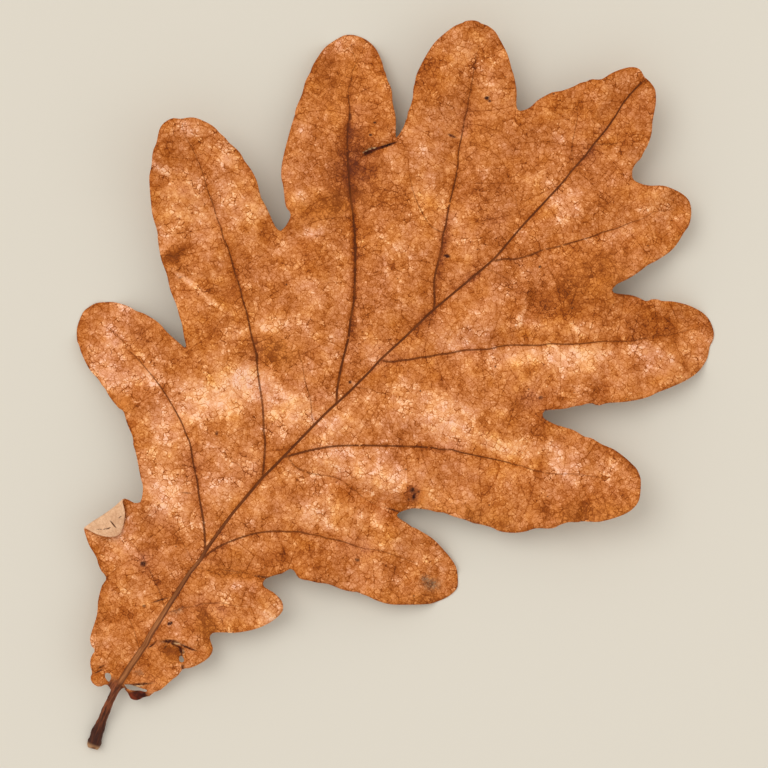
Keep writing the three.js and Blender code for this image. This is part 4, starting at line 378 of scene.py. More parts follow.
def resample(line, step, smooth=True):
    """Even stations along a polyline, rounded through its points by a centripetal spline."""
    p = np.asarray(line, float)
    if smooth and len(p) > 2:
        q = np.vstack([2 * p[0] - p[1], p, 2 * p[-1] - p[-2]])
        out = []
        for i in range(1, len(q) - 2):
            p0, p1, p2, p3 = q[i - 1], q[i], q[i + 1], q[i + 2]
            t0 = 0.0
            t1 = t0 + max(1e-6, np.linalg.norm(p1 - p0)) ** 0.5
            t2 = t1 + max(1e-6, np.linalg.norm(p2 - p1)) ** 0.5
            t3 = t2 + max(1e-6, np.linalg.norm(p3 - p2)) ** 0.5
            n = max(2, int(np.linalg.norm(p2 - p1) / step * 2) + 1)
            t = np.linspace(t1, t2, n, endpoint=False)[:, None]
            a1 = (t1 - t) / (t1 - t0) * p0 + (t - t0) / (t1 - t0) * p1
            a2 = (t2 - t) / (t2 - t1) * p1 + (t - t1) / (t2 - t1) * p2
            a3 = (t3 - t) / (t3 - t2) * p2 + (t - t2) / (t3 - t2) * p3
            b1 = (t2 - t) / (t2 - t0) * a1 + (t - t0) / (t2 - t0) * a2
            b2 = (t3 - t) / (t3 - t1) * a2 + (t - t1) / (t3 - t1) * a3
            out.append((t2 - t) / (t2 - t1) * b1 + (t - t1) / (t2 - t1) * b2)
        p = np.vstack(out + [p[-1:]])
    l = np.hypot(*np.diff(p, axis=0).T)
    s = np.concatenate([[0], np.cumsum(l)])
    n = max(2, int(round(s[-1] / step)))
    at = np.linspace(0, s[-1], n + 1)
    return np.stack([np.interp(at, s, p[:, 0]), np.interp(at, s, p[:, 1])], 1)


def smooth01(lo, hi, v):
    t = np.clip((v - lo) / (hi - lo), 0, 1)
    return t * t * (3 - 2 * t)


# ------------------------------------------------------------------ relief, as in the CAD part
H = np.array(HEIGHTS, float)


def _kernel(r):
    r = np.maximum(r, 1e-9)
    return r * r * np.log(r)


_n = len(H)
_K = np.zeros((_n + 3, _n + 3))
_K[:_n, :_n] = _kernel(np.hypot(H[:, None, 0] - H[None, :, 0], H[:, None, 1] - H[None, :, 1]))
_K[np.arange(_n), np.arange(_n)] = 0.6
_K[:_n, _n] = _K[_n, :_n] = 1
_K[:_n, _n + 1] = _K[_n + 1, :_n] = H[:, 0]
_K[:_n, _n + 2] = _K[_n + 2, :_n] = H[:, 1]
_W = np.linalg.solve(_K, np.concatenate([H[:, 2], [0, 0, 0]]))

PET = np.array(PETIOLE, float)
KNOB_SIDE = (1, 0)
RIB = np.vstack([PET[::-1, :2], np.array(MIDRIB, float)[1:]])
RIB_S = np.concatenate([[0], np.cumsum(np.hypot(*np.diff(RIB, axis=0).T))])
PET_LEN = RIB_S[len(PET) - 1]
MAIN = {"midrib": np.array(MIDRIB, float), **{k: np.array(v, float) for k, v in VEINS.items()}}


def rib_radius(s):
    foot = np.interp(s, RIB_S[: len(PET)], PET[::-1, 2])
    t = np.clip((s - PET_LEN) / (RIB_S[-1] - PET_LEN), 0, 1)
    return np.where(s <= PET_LEN, foot, RIB_TIP + (RIB_BASE - RIB_TIP) * (1 - t) ** 1.3)


def rib_top(s):
    """Half width of the midrib as it shows on the upper face, s from the base of the blade."""
    s = np.maximum(s, 0)
    return 0.115 + 0.24 * np.exp(-((s / 19) ** 2.2)) + 0.10 * (1 - s / 112)


# how plainly each vein shows on the upper face
SHOWS = {
    "left_0": 0.45, "left_low": 0.4, "left_1": 1.0, "left_2": 0.95, "left_3": 1.15, "left_4": 0.95, "left_5": 0.4, "right_1": 0.45,
    "right_2": 0.85, "right_sinus": 0.55, "right_3": 0.95, "right_4": 0.85, "right_5": 0.8, "right_6": 0.55, "between_r1": 0.35, "between_2": 0.5, "between_3": 0.5,
}
ROUNDED = {k: resample(v, 1.3) for k, v in MAIN.items()}


def vein_fields(P):
    return [(name, len(line), *nearest(P, line)) for name, line in ROUNDED.items()]


def main_veins(P, fields=None):
    """Signed distance from the nearest main vein, its half width there, the unsigned distance, and how plainly it shows."""
    best = np.full(len(P), 1e9)
    sign = np.ones(len(P))
    width = np.full(len(P), 0.3)
    strength = np.ones(len(P))
    for name, _, d, s, total, side in fields or vein_fields(P):
        left = 1 - s / total
        if name == "midrib":
            w = rib_top(s) * 0.8
            k = np.ones(len(P))
        else:
            k = (0.42 + 0.58 * smooth01(0.0, 0.45, left)) * SHOWS.get(name, 0.3)
            w = (0.06 + 0.09 * left) * min(1.0, 0.6 + total / 60) * (0.8 + 0.3 * SHOWS.get(name, 0.3))
        m = d < best
        best[m], sign[m], width[m], strength[m] = d[m], side[m], w[m], k[m]
    return best * sign, width, best, strength


FOLD_A, FOLD_B = np.array(FOLD_FROM), np.array(FOLD_TO)
FOLD_L = float(np.linalg.norm(FOLD_B - FOLD_A))
FOLD_DIR = (FOLD_B - FOLD_A) / FOLD_L
FOLD_OUT = np.array([-FOLD_DIR[1], FOLD_DIR[0]])


def height(P, ring, edge_gap=None, dv=None):
    z = _W[_n] + _W[_n + 1] * P[:, 0] + _W[_n + 2] * P[:, 1]
    for i in range(_n):
        z = z + _W[i] * _kernel(np.hypot(P[:, 0] - H[i, 0], P[:, 1] - H[i, 1]))
    blade = smooth01(PETIOLE_TOP, PETIOLE_TOP + 9, P[:, 1])
    dv = main_veins(P)[2] if dv is None else dv
    z += blade * PILLOW * (1 - np.exp(-((dv / PILLOW_REACH) ** 2)) - 0.55)
    for x1, y1, x2, y2, h, w in CREASES:
        l = math.hypot(x2 - x1, y2 - y1)
        t = ((P[:, 0] - x1) * (x2 - x1) + (P[:, 1] - y1) * (y2 - y1)) / (l * l)
        over = np.where(t < 0, -t * l, np.where(t > 1, (t - 1) * l, 0))
        side = np.abs(((P[:, 0] - x1) * (y2 - y1) - (P[:, 1] - y1) * (x2 - x1)) / l)
        z += h * np.exp(-((side / w) ** 2) - (over / (1.6 * w)) ** 2)
    edge_gap = nearest(P, ring)[0] if edge_gap is None else edge_gap
    margin = np.exp(-((edge_gap / FRILL_REACH) ** 2))
    for kx, ky, phase, body, edge in WAVES:
        z += blade * (body + edge * margin) * np.sin(kx * P[:, 0] + ky * P[:, 1] + phase)
    return z


def crinkle(P, d2, dm):
    """The small cockling of the dry lamina, too fine for the CAD part."""
    out = np.zeros(len(P))
    for i, (x, y) in enumerate(P):
        out[i] = (
            0.16 * noise.noise(Vector((x * 0.42, y * 0.42, 3.1)))
            + 0.085 * noise.noise(Vector((x * 0.95, y * 0.95, 8.2)))
            + 0.04 * noise.noise(Vector((x * 2.1, y * 2.1, 1.7)))
        )
    out *= smooth01(PETIOLE_TOP, PETIOLE_TOP + 5, P[:, 1])
    out += 0.05 * (1 - np.exp(-((np.abs(d2) / 0.5) ** 2))) * smooth01(PETIOLE_TOP, PETIOLE_TOP + 5, P[:, 1])
    out += 0.10 * np.exp(-((dm / 1.4) ** 2)) * np.sin(1.9 * P[:, 0] + 0.7 * np.sin(1.3 * P[:, 1])) * smooth01(
        PETIOLE_TOP, PETIOLE_TOP + 5, P[:, 1]
    )
    return out


def line_field(lines, Q):
    """Signed distance from the nearest of many short lines, and that line's half width."""
    pts = np.vstack([f[0] for f in lines])
    start = np.cumsum([0] + [len(f[0]) for f in lines])
    nxt = np.arange(1, len(pts) + 1)
    prv = np.arange(-1, len(pts) - 1)
    nxt[start[1:] - 1] = start[1:] - 2
    prv[start[:-1]] = start[:-1] + 1
    tree = kdtree.KDTree(len(pts))
    for i, p in enumerate(pts.tolist()):
        tree.insert((p[0], p[1], 0), i)
    tree.balance()
    near = np.array([tree.find((x, y, 0))[1] for x, y in Q.tolist()], int)

    def gap(i, j):
        a, d = pts[i], pts[j] - pts[i]
        t = np.clip(((Q - a) * d).sum(1) / np.maximum((d * d).sum(1), 1e-12), 0, 1)
        e = Q - a - t[:, None] * d
        return np.hypot(e[:, 0], e[:, 1]), np.sign(d[:, 0] * (Q - a)[:, 1] - d[:, 1] * (Q - a)[:, 0] + 1e-12)

    dA, sA = gap(near, nxt[near])
    dB, sB = gap(prv[near], near)
    sA = np.where(nxt[near] < near, -sA, sA)
    sB = np.where(prv[near] > near, -sB, sB)
    wid = np.repeat([f[1] for f in lines], np.diff(start))
    return np.where(dA <= dB, dA * sA, dB * sB), wid[near]


def gap_to(Q, line):
    """Distance to a closely stationed line."""
    return np.abs(line_field([(np.asarray(line, float), 1.0)], Q)[0]) if len(Q) else np.zeros(0)


# ------------------------------------------------------------------ the finer veins, grown across the blade
MASK_H = 0.4
mx, my = np.meshgrid(np.arange(-48, 39, MASK_H), np.arange(-58, 58, MASK_H))
mask_pts = np.stack([mx, my], -1).reshape(-1, 2)
mask = inside(mask_pts, np.array(BLADE_EDGE)).reshape(mx.shape)


def on_blade(x, y):
    i, j = int(round((y + 58) / MASK_H)), int(round((x + 48) / MASK_H))
    return 0 <= i < mask.shape[0] and 0 <= j < mask.shape[1] and bool(mask[i, j])


grid = {}


def put(x, y, vid):
    grid.setdefault((int(x // 0.6), int(y // 0.6)), []).append((x, y, vid))


def meets(x, y, vid, reach):
    ix, iy = int(x // 0.6), int(y // 0.6)
    best, at = reach * reach, None
    for jx in (ix - 1, ix, ix + 1):
        for jy in (iy - 1, iy, iy + 1):
            for qx, qy, v in grid.get((jx, jy), ()):
                if v not in vid:
                    d = (qx - x) ** 2 + (qy - y) ** 2
                    if d < best:
                        best, at = d, (qx, qy)
    return at


fine = []  # points, half width
vid = 0
mains = []
for name, line in MAIN.items():
    st = resample(line, 0.3)
    for x, y in st:
        put(x, y, vid)
    if name != "midrib":
        mains.append((vid, st))
    vid += 1
rng = np.random.default_rng(5)


def seeds_of(parents, lo, hi, ang_lo, ang_hi, start):
    out = []
    for pv, st in parents:
        if len(st) < 4:
            continue
        l = np.concatenate([[0], np.cumsum(np.hypot(*np.diff(st, axis=0).T))])
        for side in (1, -1):
            s = start + rng.uniform(0, lo)
            while s < l[-1] - 0.3:
                i = min(len(st) - 2, int(np.searchsorted(l, s)))
                t = st[i + 1] - st[i - 1] if i > 0 else st[1] - st[0]
                heading = math.atan2(t[1], t[0]) + side * math.radians(rng.uniform(ang_lo, ang_hi))
                out.append((pv, st[i], heading))
                s += rng.uniform(lo, hi)
    rng.shuffle(out)
    return out


def grow(seeds, step, reach, most, wander, width):
    global vid
    tips = []
    for pv, p, heading in seeds:
        tips.append([vid, pv, [tuple(p)], heading, rng.normal(0, 0.03)])
        vid += 1
    done = []
    while tips:
        nxt = []
        for tip in tips:
            me, pv, pts, heading, bend = tip
            x, y = pts[-1]
            heading += bend + rng.normal(0, wander)
            x2, y2 = x + math.cos(heading) * step, y + math.sin(heading) * step
            tip[3] = heading
            if not on_blade(x2, y2):
                pts.append((x2, y2))
                done.append((me, pts))
                continue
            young = len(pts) * step < reach * 2.2
            at = meets(x2, y2, (me, pv) if young else (me,), reach)
            if at is not None:
                pts.append(at)
                if len(pts) > 2:
                    done.append((me, pts))
                continue
            pts.append((x2, y2))
            put(x2, y2, me)
            if len(pts) * step > most:
                done.append((me, pts))
            else:
                nxt.append(tip)
        tips = nxt
    for me, pts in done:
        fine.append((np.array(pts), width * rng.uniform(0.75, 1.25)))
    return [(me, np.array(pts)) for me, pts in done]


fine = []
second = grow(seeds_of(mains, 2.1, 3.6, 66, 86, 2.2), 0.32, 0.30, 16, 0.026, 0.055)
second_lines = [f for f in fine if len(f[0]) > 2]
fine = []
third = grow(seeds_of(second, 1.7, 2.9, 70, 95, 0.7), 0.28, 0.27, 6, 0.06, 0.042)
fourth = grow(seeds_of(third, 1.3, 2.2, 74, 100, 0.6), 0.25, 0.25, 3.2, 0.08, 0.03)

# ------------------------------------------------------------------ outline and rows of points
pet_line = resample(PET[1:, :2], 0.34)
tang = np.gradient(pet_line, axis=0)
tang /= np.linalg.norm(tang, axis=1)[:, None]
pet_n = np.stack([-tang[:, 1], tang[:, 0]], 1)
pet_r = rib_radius(nearest(pet_line, RIB)[1])
pet_r = pet_r * (1 + 0.05 * np.sin(np.arange(len(pet_r)) * 0.9) + 0.04 * np.sin(np.arange(len(pet_r)) * 2.3 + 1))
edge = resample(BLADE_EDGE, 0.46)
knob_at = PET_LEN * 0.0 + 2.35
pet_s = np.concatenate([[0], np.cumsum(np.hypot(*np.diff(pet_line, axis=0).T))])
pet_s = pet_s if nearest(pet_line[:1], RIB)[1][0] < 2 else pet_s[-1] - pet_s
knob = 0.17 * np.exp(-(((pet_s - knob_at) / 0.42) ** 2))
sideA, sideB = pet_line - pet_n * (pet_r + KNOB_SIDE[0] * knob)[:, None], pet_line + pet_n * (pet_r + KNOB_SIDE[1] * knob)[:, None]
if np.linalg.norm(sideA[0] - edge[0]) > np.linalg.norm(sideB[0] - edge[0]):
    sideA, sideB = sideB, sideA
ring = np.vstack([edge, sideB, sideA[::-1]])
TEAR_OPEN = (1.9, 1.9, 1.35)
holes = []
for h in TEARS:
    h = np.array(h, float)
    c_ = h.mean(0)
    _, axes = np.linalg.eigh(np.cov((h - c_).T))
    q = (h - c_) @ axes
    h = c_ + (q * (TEAR_OPEN[len(holes)], 1.2)) @ axes.T
    holes.append(resample(np.vstack([h, h[:1]]), 0.22, smooth=True)[:-1])

rows = []
for q in (0, 0.35, 0.65, 0.88):
    for s in (1, -1) if q else (1,):
        rows.append(pet_line + pet_n * (pet_r * q * s)[:, None])


def vein_rows(line, offsets, step=0.5):
    st = resample(line, step)
    t = np.gradient(st, axis=0)
    t /= np.maximum(np.linalg.norm(t, axis=1), 1e-9)[:, None]
    n = np.stack([-t[:, 1], t[:, 0]], 1)
    r = rib_radius(nearest(st, RIB)[1])
    return [st + n * (o * (r if rel else 1.0))[:, None] if rel else st + n * o for o, rel in offsets]


rows += vein_rows(MAIN["midrib"], [(0, 0), (0.4, 1), (-0.4, 1), (0.75, 1), (-0.75, 1), (1.05, 1), (-1.05, 1)], 0.4)
for name, line in MAIN.items():
    if name != "midrib":
        rows += vein_rows(line, [(0, 0), (0.2, 0), (-0.2, 0), (VEIN_HALF, 0), (-VEIN_HALF, 0)], 0.5)
for q in range(9):
    v = -FOLD_R + q * math.pi * FOLD_R / 8
    u = np.linspace(0.1, FOLD_L - 0.1, 16)[:, None]
    rows.append(FOLD_A + FOLD_DIR * u + FOLD_OUT * v)

HCELL = 0.11
taken = {}
pattern = []


def offer(points, clear):
    for x, y in points:
        ix, iy = int(math.floor(x / 0.5)), int(math.floor(y / 0.5))
        ok = True
        for jx in (ix - 1, ix, ix + 1):
            for jy in (iy - 1, iy, iy + 1):
                for qx, qy in taken.get((jx, jy), ()):
                    if (qx - x) ** 2 + (qy - y) ** 2 < clear * clear:
                        ok = False
        if ok:
            taken.setdefault((ix, iy), []).append((x, y))
            pattern.append((x, y))


ring_all = [ring, *holes]
for r in ring_all:
    for x, y in r:
        taken.setdefault((int(math.floor(x / 0.5)), int(math.floor(y / 0.5))), []).append((x, y))
ring_closed = np.vstack([ring, ring[:1]])
holes_closed = [np.vstack([h, h[:1]]) for h in holes]


def fitting(q, clear):
    """Those of the points that lie on the blade, clear of its margin and holes."""
    q = q[inside(q, ring)]
    q = q[gap_to(q, ring_closed) > clear]
    for h in holes_closed:
        q = q[~inside(q, h[:-1])]
        q = q[gap_to(q, h) > clear]
    return q


offer(fitting(np.vstack(rows), 0.07), 0.105)
offer(fitting(np.vstack([l for l, _ in second_lines]), 0.09), 0.12)
gx, gy = np.meshgrid(np.arange(-130, 131), np.arange(-190, 191))
lattice = np.stack([(gx + (gy & 1) / 2) * GRID, gy * GRID * 0.866], -1).reshape(-1, 2)
lattice = lattice[(lattice[:, 0] > -47.5) & (lattice[:, 0] < 38.5) & (lattice[:, 1] > -58) & (lattice[:, 1] < 57)]
rng = np.random.default_rng(11)
lattice += rng.uniform(-0.07, 0.07, lattice.shape)
coarse = np.array(BLADE_EDGE + BLADE_EDGE[:1], float)
lattice = lattice[inside(lattice, coarse[:-1])]
lattice = lattice[nearest(lattice, coarse)[0] > 0.2]
for h in holes:
    lattice = lattice[~inside(lattice, h)]
# closer points where a small dark mark has to be drawn sharply
close = []
for x, y, rx, ry, ang, amount in DARK_MARKS_AND_SHADE:
    if min(rx, ry) > 4:
        continue
    c0 = px((x, y))[0]
    t = math.radians(39.65 - ang)
    a_, b_ = rx * 0.1384 * 1.35 + 0.08, ry * 0.1384 * 1.35 + 0.08
    gu, gv = np.meshgrid(np.arange(-a_, a_ + 0.01, 0.125), np.arange(-b_, b_ + 0.01, 0.125))
    gu, gv = gu.ravel(), gv.ravel()
    ok = (gu / a_) ** 2 + (gv / b_) ** 2 < 1.15
    close.append(c0 + np.column_stack([gu * math.cos(t) - gv * math.sin(t), gu * math.sin(t) + gv * math.cos(t)])[ok])
gu, gv = np.meshgrid(np.arange(0, FOLD_L, 0.16), np.arange(0.9, 6, 0.16))
close.append(FOLD_A + gu.reshape(-1, 1) * FOLD_DIR + gv.reshape(-1, 1) * FOLD_OUT)
offer(fitting(np.vstack(close), 0.06), 0.085)
offer(lattice, 0.25)

count = 0
edges_in = []
for r in ring_all:
    k = len(r)
    edges_in += [(count + i, count + (i + 1) % k) for i in range(k)]
    count += k
coords = np.vstack([*ring_all, np.array(pattern)])
made = delaunay_2d_cdt([Vector(c) for c in coords.tolist()], edges_in, [], 0, 1e-6)
P = np.array([tuple(v) for v in made[0]], float)
T = np.array([tuple(f) for f in made[2]], int)
orig = made[3]
new_of = {}
for new, olds in enumerate(orig):
    for o in olds:
        new_of[o] = new
cent = P[T].mean(1)
keep = inside(cent, ring)
for h in holes:
    keep &= ~inside(cent, h)
T = T[keep]
a, b, c = P[T[:, 0]], P[T[:, 1]], P[T[:, 2]]
turn = (b[:, 0] - a[:, 0]) * (c[:, 1] - a[:, 1]) - (b[:, 1] - a[:, 1]) * (c[:, 0] - a[:, 0])
T = T[np.abs(turn) > 1e-7]
turn = turn[np.abs(turn) > 1e-7]
T[turn < 0] = T[turn < 0][:, [0, 2, 1]]
used = np.unique(T)
remap = -np.ones(len(P), int)
remap[used] = np.arange(len(used))
P, T = P[used], remap[T]
# boundary edges, directed as their triangles have them
eds = {}
for tri in T.tolist():
    for k in range(3):
        e = (tri[k], tri[(k + 1) % 3])
        eds[e] = 1
rim_edges = [e for e in eds if (e[1], e[0]) not in eds]
is_rim = np.zeros(len(P), bool)
for e in rim_edges:
    is_rim[list(e)] = True
N = len(P)

# ------------------------------------------------------------------ distances to the finer veins
d2, w2 = line_field(second_lines, P)
d2 = np.abs(d2)
d3, w3 = line_field([f for f in fine if len(f[0]) > 2], P)
fields = vein_fields(P)
d1, w1, d1abs, k1 = main_veins(P, fields)
dm = gap_to(P, ring_closed)

# ------------------------------------------------------------------ the solid
ringc = np.vstack([ring, ring[:1]])


def place(Q, base, extra):
    """Flat place to space: lifts the blade and rolls the folded tip over its fold line."""
    u = (Q - FOLD_A) @ FOLD_DIR
    v = (Q - FOLD_A) @ FOLD_OUT
    out = np.column_stack([Q, base + extra])
    m = (v > -FOLD_R) & (v < 7) & (u > -1) & (u < FOLD_L + 0.25)
    if m.any():
        s = Q[m] - FOLD_OUT * (v[m] + FOLD_R)[:, None]
        z0 = height(s, ringc)
        slope = (z0 - height(s - FOLD_OUT * 0.05, ringc)) / 0.05
        c = 1 / np.hypot(1, slope)
        sn = slope * c
        w = v[m] + FOLD_R
        turn = np.minimum(w / FOLD_R, math.pi)
        rest = np.maximum(0, w - math.pi * FOLD_R)
        o = FOLD_R * np.sin(turn) - rest * math.cos(FLAP_LIFT)
        up = FOLD_R * (1 - np.cos(turn)) + rest * math.sin(FLAP_LIFT) + 0.3 * extra[m]
        flat = o * c - up * sn
        out[m, :2] = s + FOLD_OUT * flat[:, None]
        out[m, 2] = z0 + o * sn + up * c
    return out


base = height(P, ringc, dm, d1abs)
extra = crinkle(P, d2, dm)
mid = place(P, base, extra)
tri = mid[T]
fn = np.cross(tri[:, 1] - tri[:, 0], tri[:, 2] - tri[:, 0])
vn = np.zeros((N, 3))
for k in range(3):
    np.add.at(vn, T[:, k], fn)
vn /= np.maximum(np.linalg.norm(vn, axis=1), 1e-9)[:, None]

rib_d, rib_s, rib_total, _ = nearest(P, RIB)
r = rib_radius(rib_s)
in_pet = rib_s < PET_LEN - 0.2
r = np.where(in_pet, np.interp(nearest(P, pet_line)[1], np.linspace(0, 1, len(pet_r)) * nearest(P[:1], pet_line)[2], pet_r), r)
rnd = np.sqrt(np.maximum(0, r * r - rib_d * rib_d))
crown = 1 - 0.7 * smooth01(PET_LEN - 0.5, PET_LEN + 14, rib_s)
rt = np.where(in_pet, r, np.minimum(r, rib_top(rib_s - PET_LEN)))
up = np.maximum(THICK / 2, np.sqrt(np.maximum(0, rt * rt - rib_d * rib_d)) * crown)
down = np.maximum(THICK / 2, rnd)
for name, _, d, s, total, _ in fields:
    if name == "midrib":
        continue
    ridge = (RIDGE_TIP + (RIDGE_BASE - RIDGE_TIP) * (1 - s / total)) * min(1.0, total / 25)
    down = np.where(d < VEIN_HALF, np.maximum(down, THICK / 2 + ridge * (1 - (d / VEIN_HALF) ** 2)), down)
    up -= 0.09 * min(1.0, SHOWS.get(name, 0.3) + 0.1) * np.exp(-((d / 0.3) ** 2)) * (1 - 0.6 * s / total)
up -= 0.10 * np.exp(-((rib_d / 0.35) ** 2)) * smooth01(PET_LEN + 8, PET_LEN + 20, rib_s)
up += 0.05 * np.exp(-(((rib_d - 0.5) / 0.2) ** 2)) * smooth01(PET_LEN, PET_LEN + 4, rib_s) * (1 - smooth01(PET_LEN + 30, PET_LEN + 60, rib_s))
down += 0.06 * np.exp(-((d2 / 0.16) ** 2))
up = np.maximum(up, 0.03)
up[is_rim] = RIM_HALF
down[is_rim] = RIM_HALF
top = mid + vn * up[:, None]
bot = mid - vn * down[:, None]
lift = np.maximum(0, -bot[:, 2])
bot[:, 2] += lift
top[:, 2] += lift

# A third row of points rounds the margin between the two skins.
rim_ids = np.where(is_rim)[0]
rim_of = -np.ones(N, int)
rim_of[rim_ids] = np.arange(len(rim_ids))
outward = np.zeros((N, 3))
for i, j in rim_edges:
    t = mid[j] - mid[i]
    o = np.cross(t, vn[i] + vn[j])
    o /= max(1e-9, np.linalg.norm(o))
    outward[i] += o
    outward[j] += o
ol = np.linalg.norm(outward, axis=1)
outward[ol > 0] /= ol[ol > 0][:, None]
edge_mid = ((top + bot) / 2 + outward * 0.035)[rim_ids]

V3 = np.vstack([top, bot, edge_mid])
flat2 = np.vstack([P, P, P[rim_ids]])


def to_row(v):
    """From the flat pattern's origin to the row frame, with each point moved so that it is seen where it belongs from the camera."""
    out = v.copy()
    k = (1 - (v[:, 2] - MID_Z) / CAM_D)[:, None]
    out[:, :2] = v[:, :2] * k + SHIFT
    return out / 1000.0


V3 = to_row(V3)
faces = [tuple(t) for t in T.tolist()]
faces += [(N + c_, N + b_, N + a_) for a_, b_, c_ in T.tolist()]
E0 = 2 * N
for i, j in rim_edges:
    ei, ej = E0 + rim_of[i], E0 + rim_of[j]
    faces += [(j, i, ei), (j, ei, ej), (ej, ei, N + i), (ej, N + i, N + j)]
me = bpy.data.meshes.new("oak_leaf_blade")
me.from_pydata(V3.tolist(), [], faces)
me.update()
leaf = bpy.data.objects.new("oak_leaf_grown", me)
bpy.context.scene.collection.objects.link(leaf)
me.polygons.foreach_set("use_smooth", [True] * len(me.polygons))


def attr(name, values):
    at = me.attributes.new(name, "FLOAT", "POINT")
    at.data.foreach_set("value", np.asarray(values, np.float32))


def both(v):
    return np.concatenate([v, v, v[rim_ids]])


# ------------------------------------------------------------------ stains and bruises, with painted sheen, painted highlights and painted shade, placed one by one
def blobs(table, folded=False):
    out = np.zeros(N)
    Q = P
    if folded:  # as the marks are seen on the folded tip
        v = (P - FOLD_A) @ FOLD_OUT
        Q = P - 2 * FOLD_OUT * (v - 0.35)[:, None]
    for x, y, rx, ry, ang, amount in table:
        c0 = px((x, y))[0]
        t = math.radians(39.65 - ang)
        d = Q - c0
        uu = (d[:, 0] * math.cos(t) + d[:, 1] * math.sin(t)) / (rx * 0.1384)
        vv = (-d[:, 0] * math.sin(t) + d[:, 1] * math.cos(t)) / (ry * 0.1384)
        q = uu * uu + vv * vv
        out += amount * np.exp(-(q**1.35))
    return out


attr("tone_and_shading", both(blobs(TONE_AND_SHADING)))
attr("purple", both(blobs(PURPLE)))
attr("dark_marks_and_shade", both(blobs(DARK_MARKS_AND_SHADE)))
past_fold = (P - FOLD_A) @ FOLD_OUT > 0
attr("veinlet", both(blobs(VEINLETS, True) * (past_fold & ((P - FOLD_A) @ FOLD_DIR > -1) & ((P - FOLD_A) @ FOLD_DIR < FOLD_L + 1))))
attr("ochre", both(blobs(OCHRE)))
attr("mould", both(blobs(MOULD)))
attr("scrap", both(blobs(SCRAP)))
attr("debris", both(blobs(DEBRIS)))
attr("d1", both(d1abs))
attr("w1", both(w1))
attr("k1", both(k1))
attr("ribw", both(rib_top(rib_s - PET_LEN)))
attr("d2", both(d2))
attr("w2", both(w2))
attr("d3", both(d3))
attr("d3u", both(np.abs(d3)))
attr("w3", both(w3))
attr("dm", both(dm))
attr("rib", both(rib_s - PET_LEN))
attr("ribd", both(rib_d * nearest(P, RIB)[3]))
side_v = np.concatenate([np.zeros(N), np.ones(N), np.full(len(rim_ids), 0.35)])
attr("under", side_v)
fl = me.attributes.new("flat", "FLOAT_VECTOR", "POINT")
fl.data.foreach_set("vector", np.column_stack([flat2, side_v * 0]).astype(np.float32).ravel())

# Map for baking: the upper face large, the under face beside it.
uv = me.uv_layers.new(name="OFBake")
lo2 = P.min(0)
loops = np.zeros(len(me.loops), int)
me.loops.foreach_get("vertex_index", loops)
is_under = np.zeros(len(me.polygons), bool)
is_under[len(T): 2 * len(T)] = True
is_under[2 * len(T) + 2 :: 4] = True
is_under[2 * len(T) + 3 :: 4] = True
starts = np.zeros(len(me.polygons), int)
me.polygons.foreach_get("loop_start", starts)
loop_under = np.repeat(is_under, 3)
xy = flat2[loops] - lo2
# the petiole's sides and the margin lie edge-on, so each ring is pushed out a little in the map
ext = np.zeros((len(flat2), 2))
ext[2 * N:] = outward[rim_ids][:, :2] * 0.12
xy = xy + ext[loops]
uvs = np.where(loop_under[:, None], xy * 0.0038 + [0.668, 0.01], xy * 0.0077 + [0.006, 0.006])
uv.data.foreach_set("uv", uvs.astype(np.float32).ravel())
me.uv_layers.active = uv

# ------------------------------------------------------------------ the leaf's skin
def lin(r, g, b):
    return tuple(((v / 255) / 12.92 if v <= 10.3 else ((v / 255 + 0.055) / 1.055) ** 2.4) for v in (r, g, b)) + (1.0,)


mat = bpy.data.materials.new("dry_oak_leaf")
mat.use_nodes = True
nt = mat.node_tree
nt.nodes.clear()


def node(kind, **props):
    n = nt.nodes.new(kind)
    for k, v in props.items():
        setattr(n, k, v)
    return n


def put_in(sock, v):
    if hasattr(v, "is_output"):
        nt.links.new(v, sock)
    else:
        sock.default_value = v


def M(op, a, b=0.0, c=None, clamp=False):
    n = node("ShaderNodeMath", operation=op, use_clamp=clamp)
    put_in(n.inputs[0], a)
    put_in(n.inputs[1], b)
    if c is not None:
        put_in(n.inputs[2], c)
    return n.outputs[0]


def add(*v):
    out = v[0]
    for q in v[1:]:
        out = M("ADD", out, q)
    return out


def mul(*v):
    out = v[0]
    for q in v[1:]:
        out = M("MULTIPLY", out, q)
    return out


def sub(a, b):
    return M("SUBTRACT", a, b)


def ss(lo, hi, v):
    """1 above hi, 0 under lo, smooth between; lo may be above hi."""
    n = node("ShaderNodeMapRange", interpolation_type="SMOOTHSTEP")
    if isinstance(lo, (int, float)) and isinstance(hi, (int, float)) and lo > hi:
        put_in(n.inputs["From Min"], hi)
        put_in(n.inputs["From Max"], lo)
        put_in(n.inputs["To Min"], 1.0)
        put_in(n.inputs["To Max"], 0.0)
    else:
        put_in(n.inputs["From Min"], lo)
        put_in(n.inputs["From Max"], hi)
        put_in(n.inputs["To Min"], 0.0)
        put_in(n.inputs["To Max"], 1.0)
    put_in(n.inputs["Value"], v)
    return n.outputs[0]


def A(name, vector=False):
    n = node("ShaderNodeAttribute", attribute_name=name)
    return n.outputs["Vector" if vector else "Fac"]


def vec(x, y, z=0.0):
    n = node("ShaderNodeCombineXYZ")
    put_in(n.inputs[0], x)
    put_in(n.inputs[1], y)
    put_in(n.inputs[2], z)
    return n.outputs[0]


def vadd(a, b):
    n = node("ShaderNodeVectorMath", operation="ADD")
    put_in(n.inputs[0], a)
    put_in(n.inputs[1], b)
    return n.outputs[0]


def vscale(a, s):
    n = node("ShaderNodeVectorMath", operation="SCALE")
    put_in(n.inputs[0], a)
    put_in(n.inputs["Scale"], s)
    return n.outputs[0]


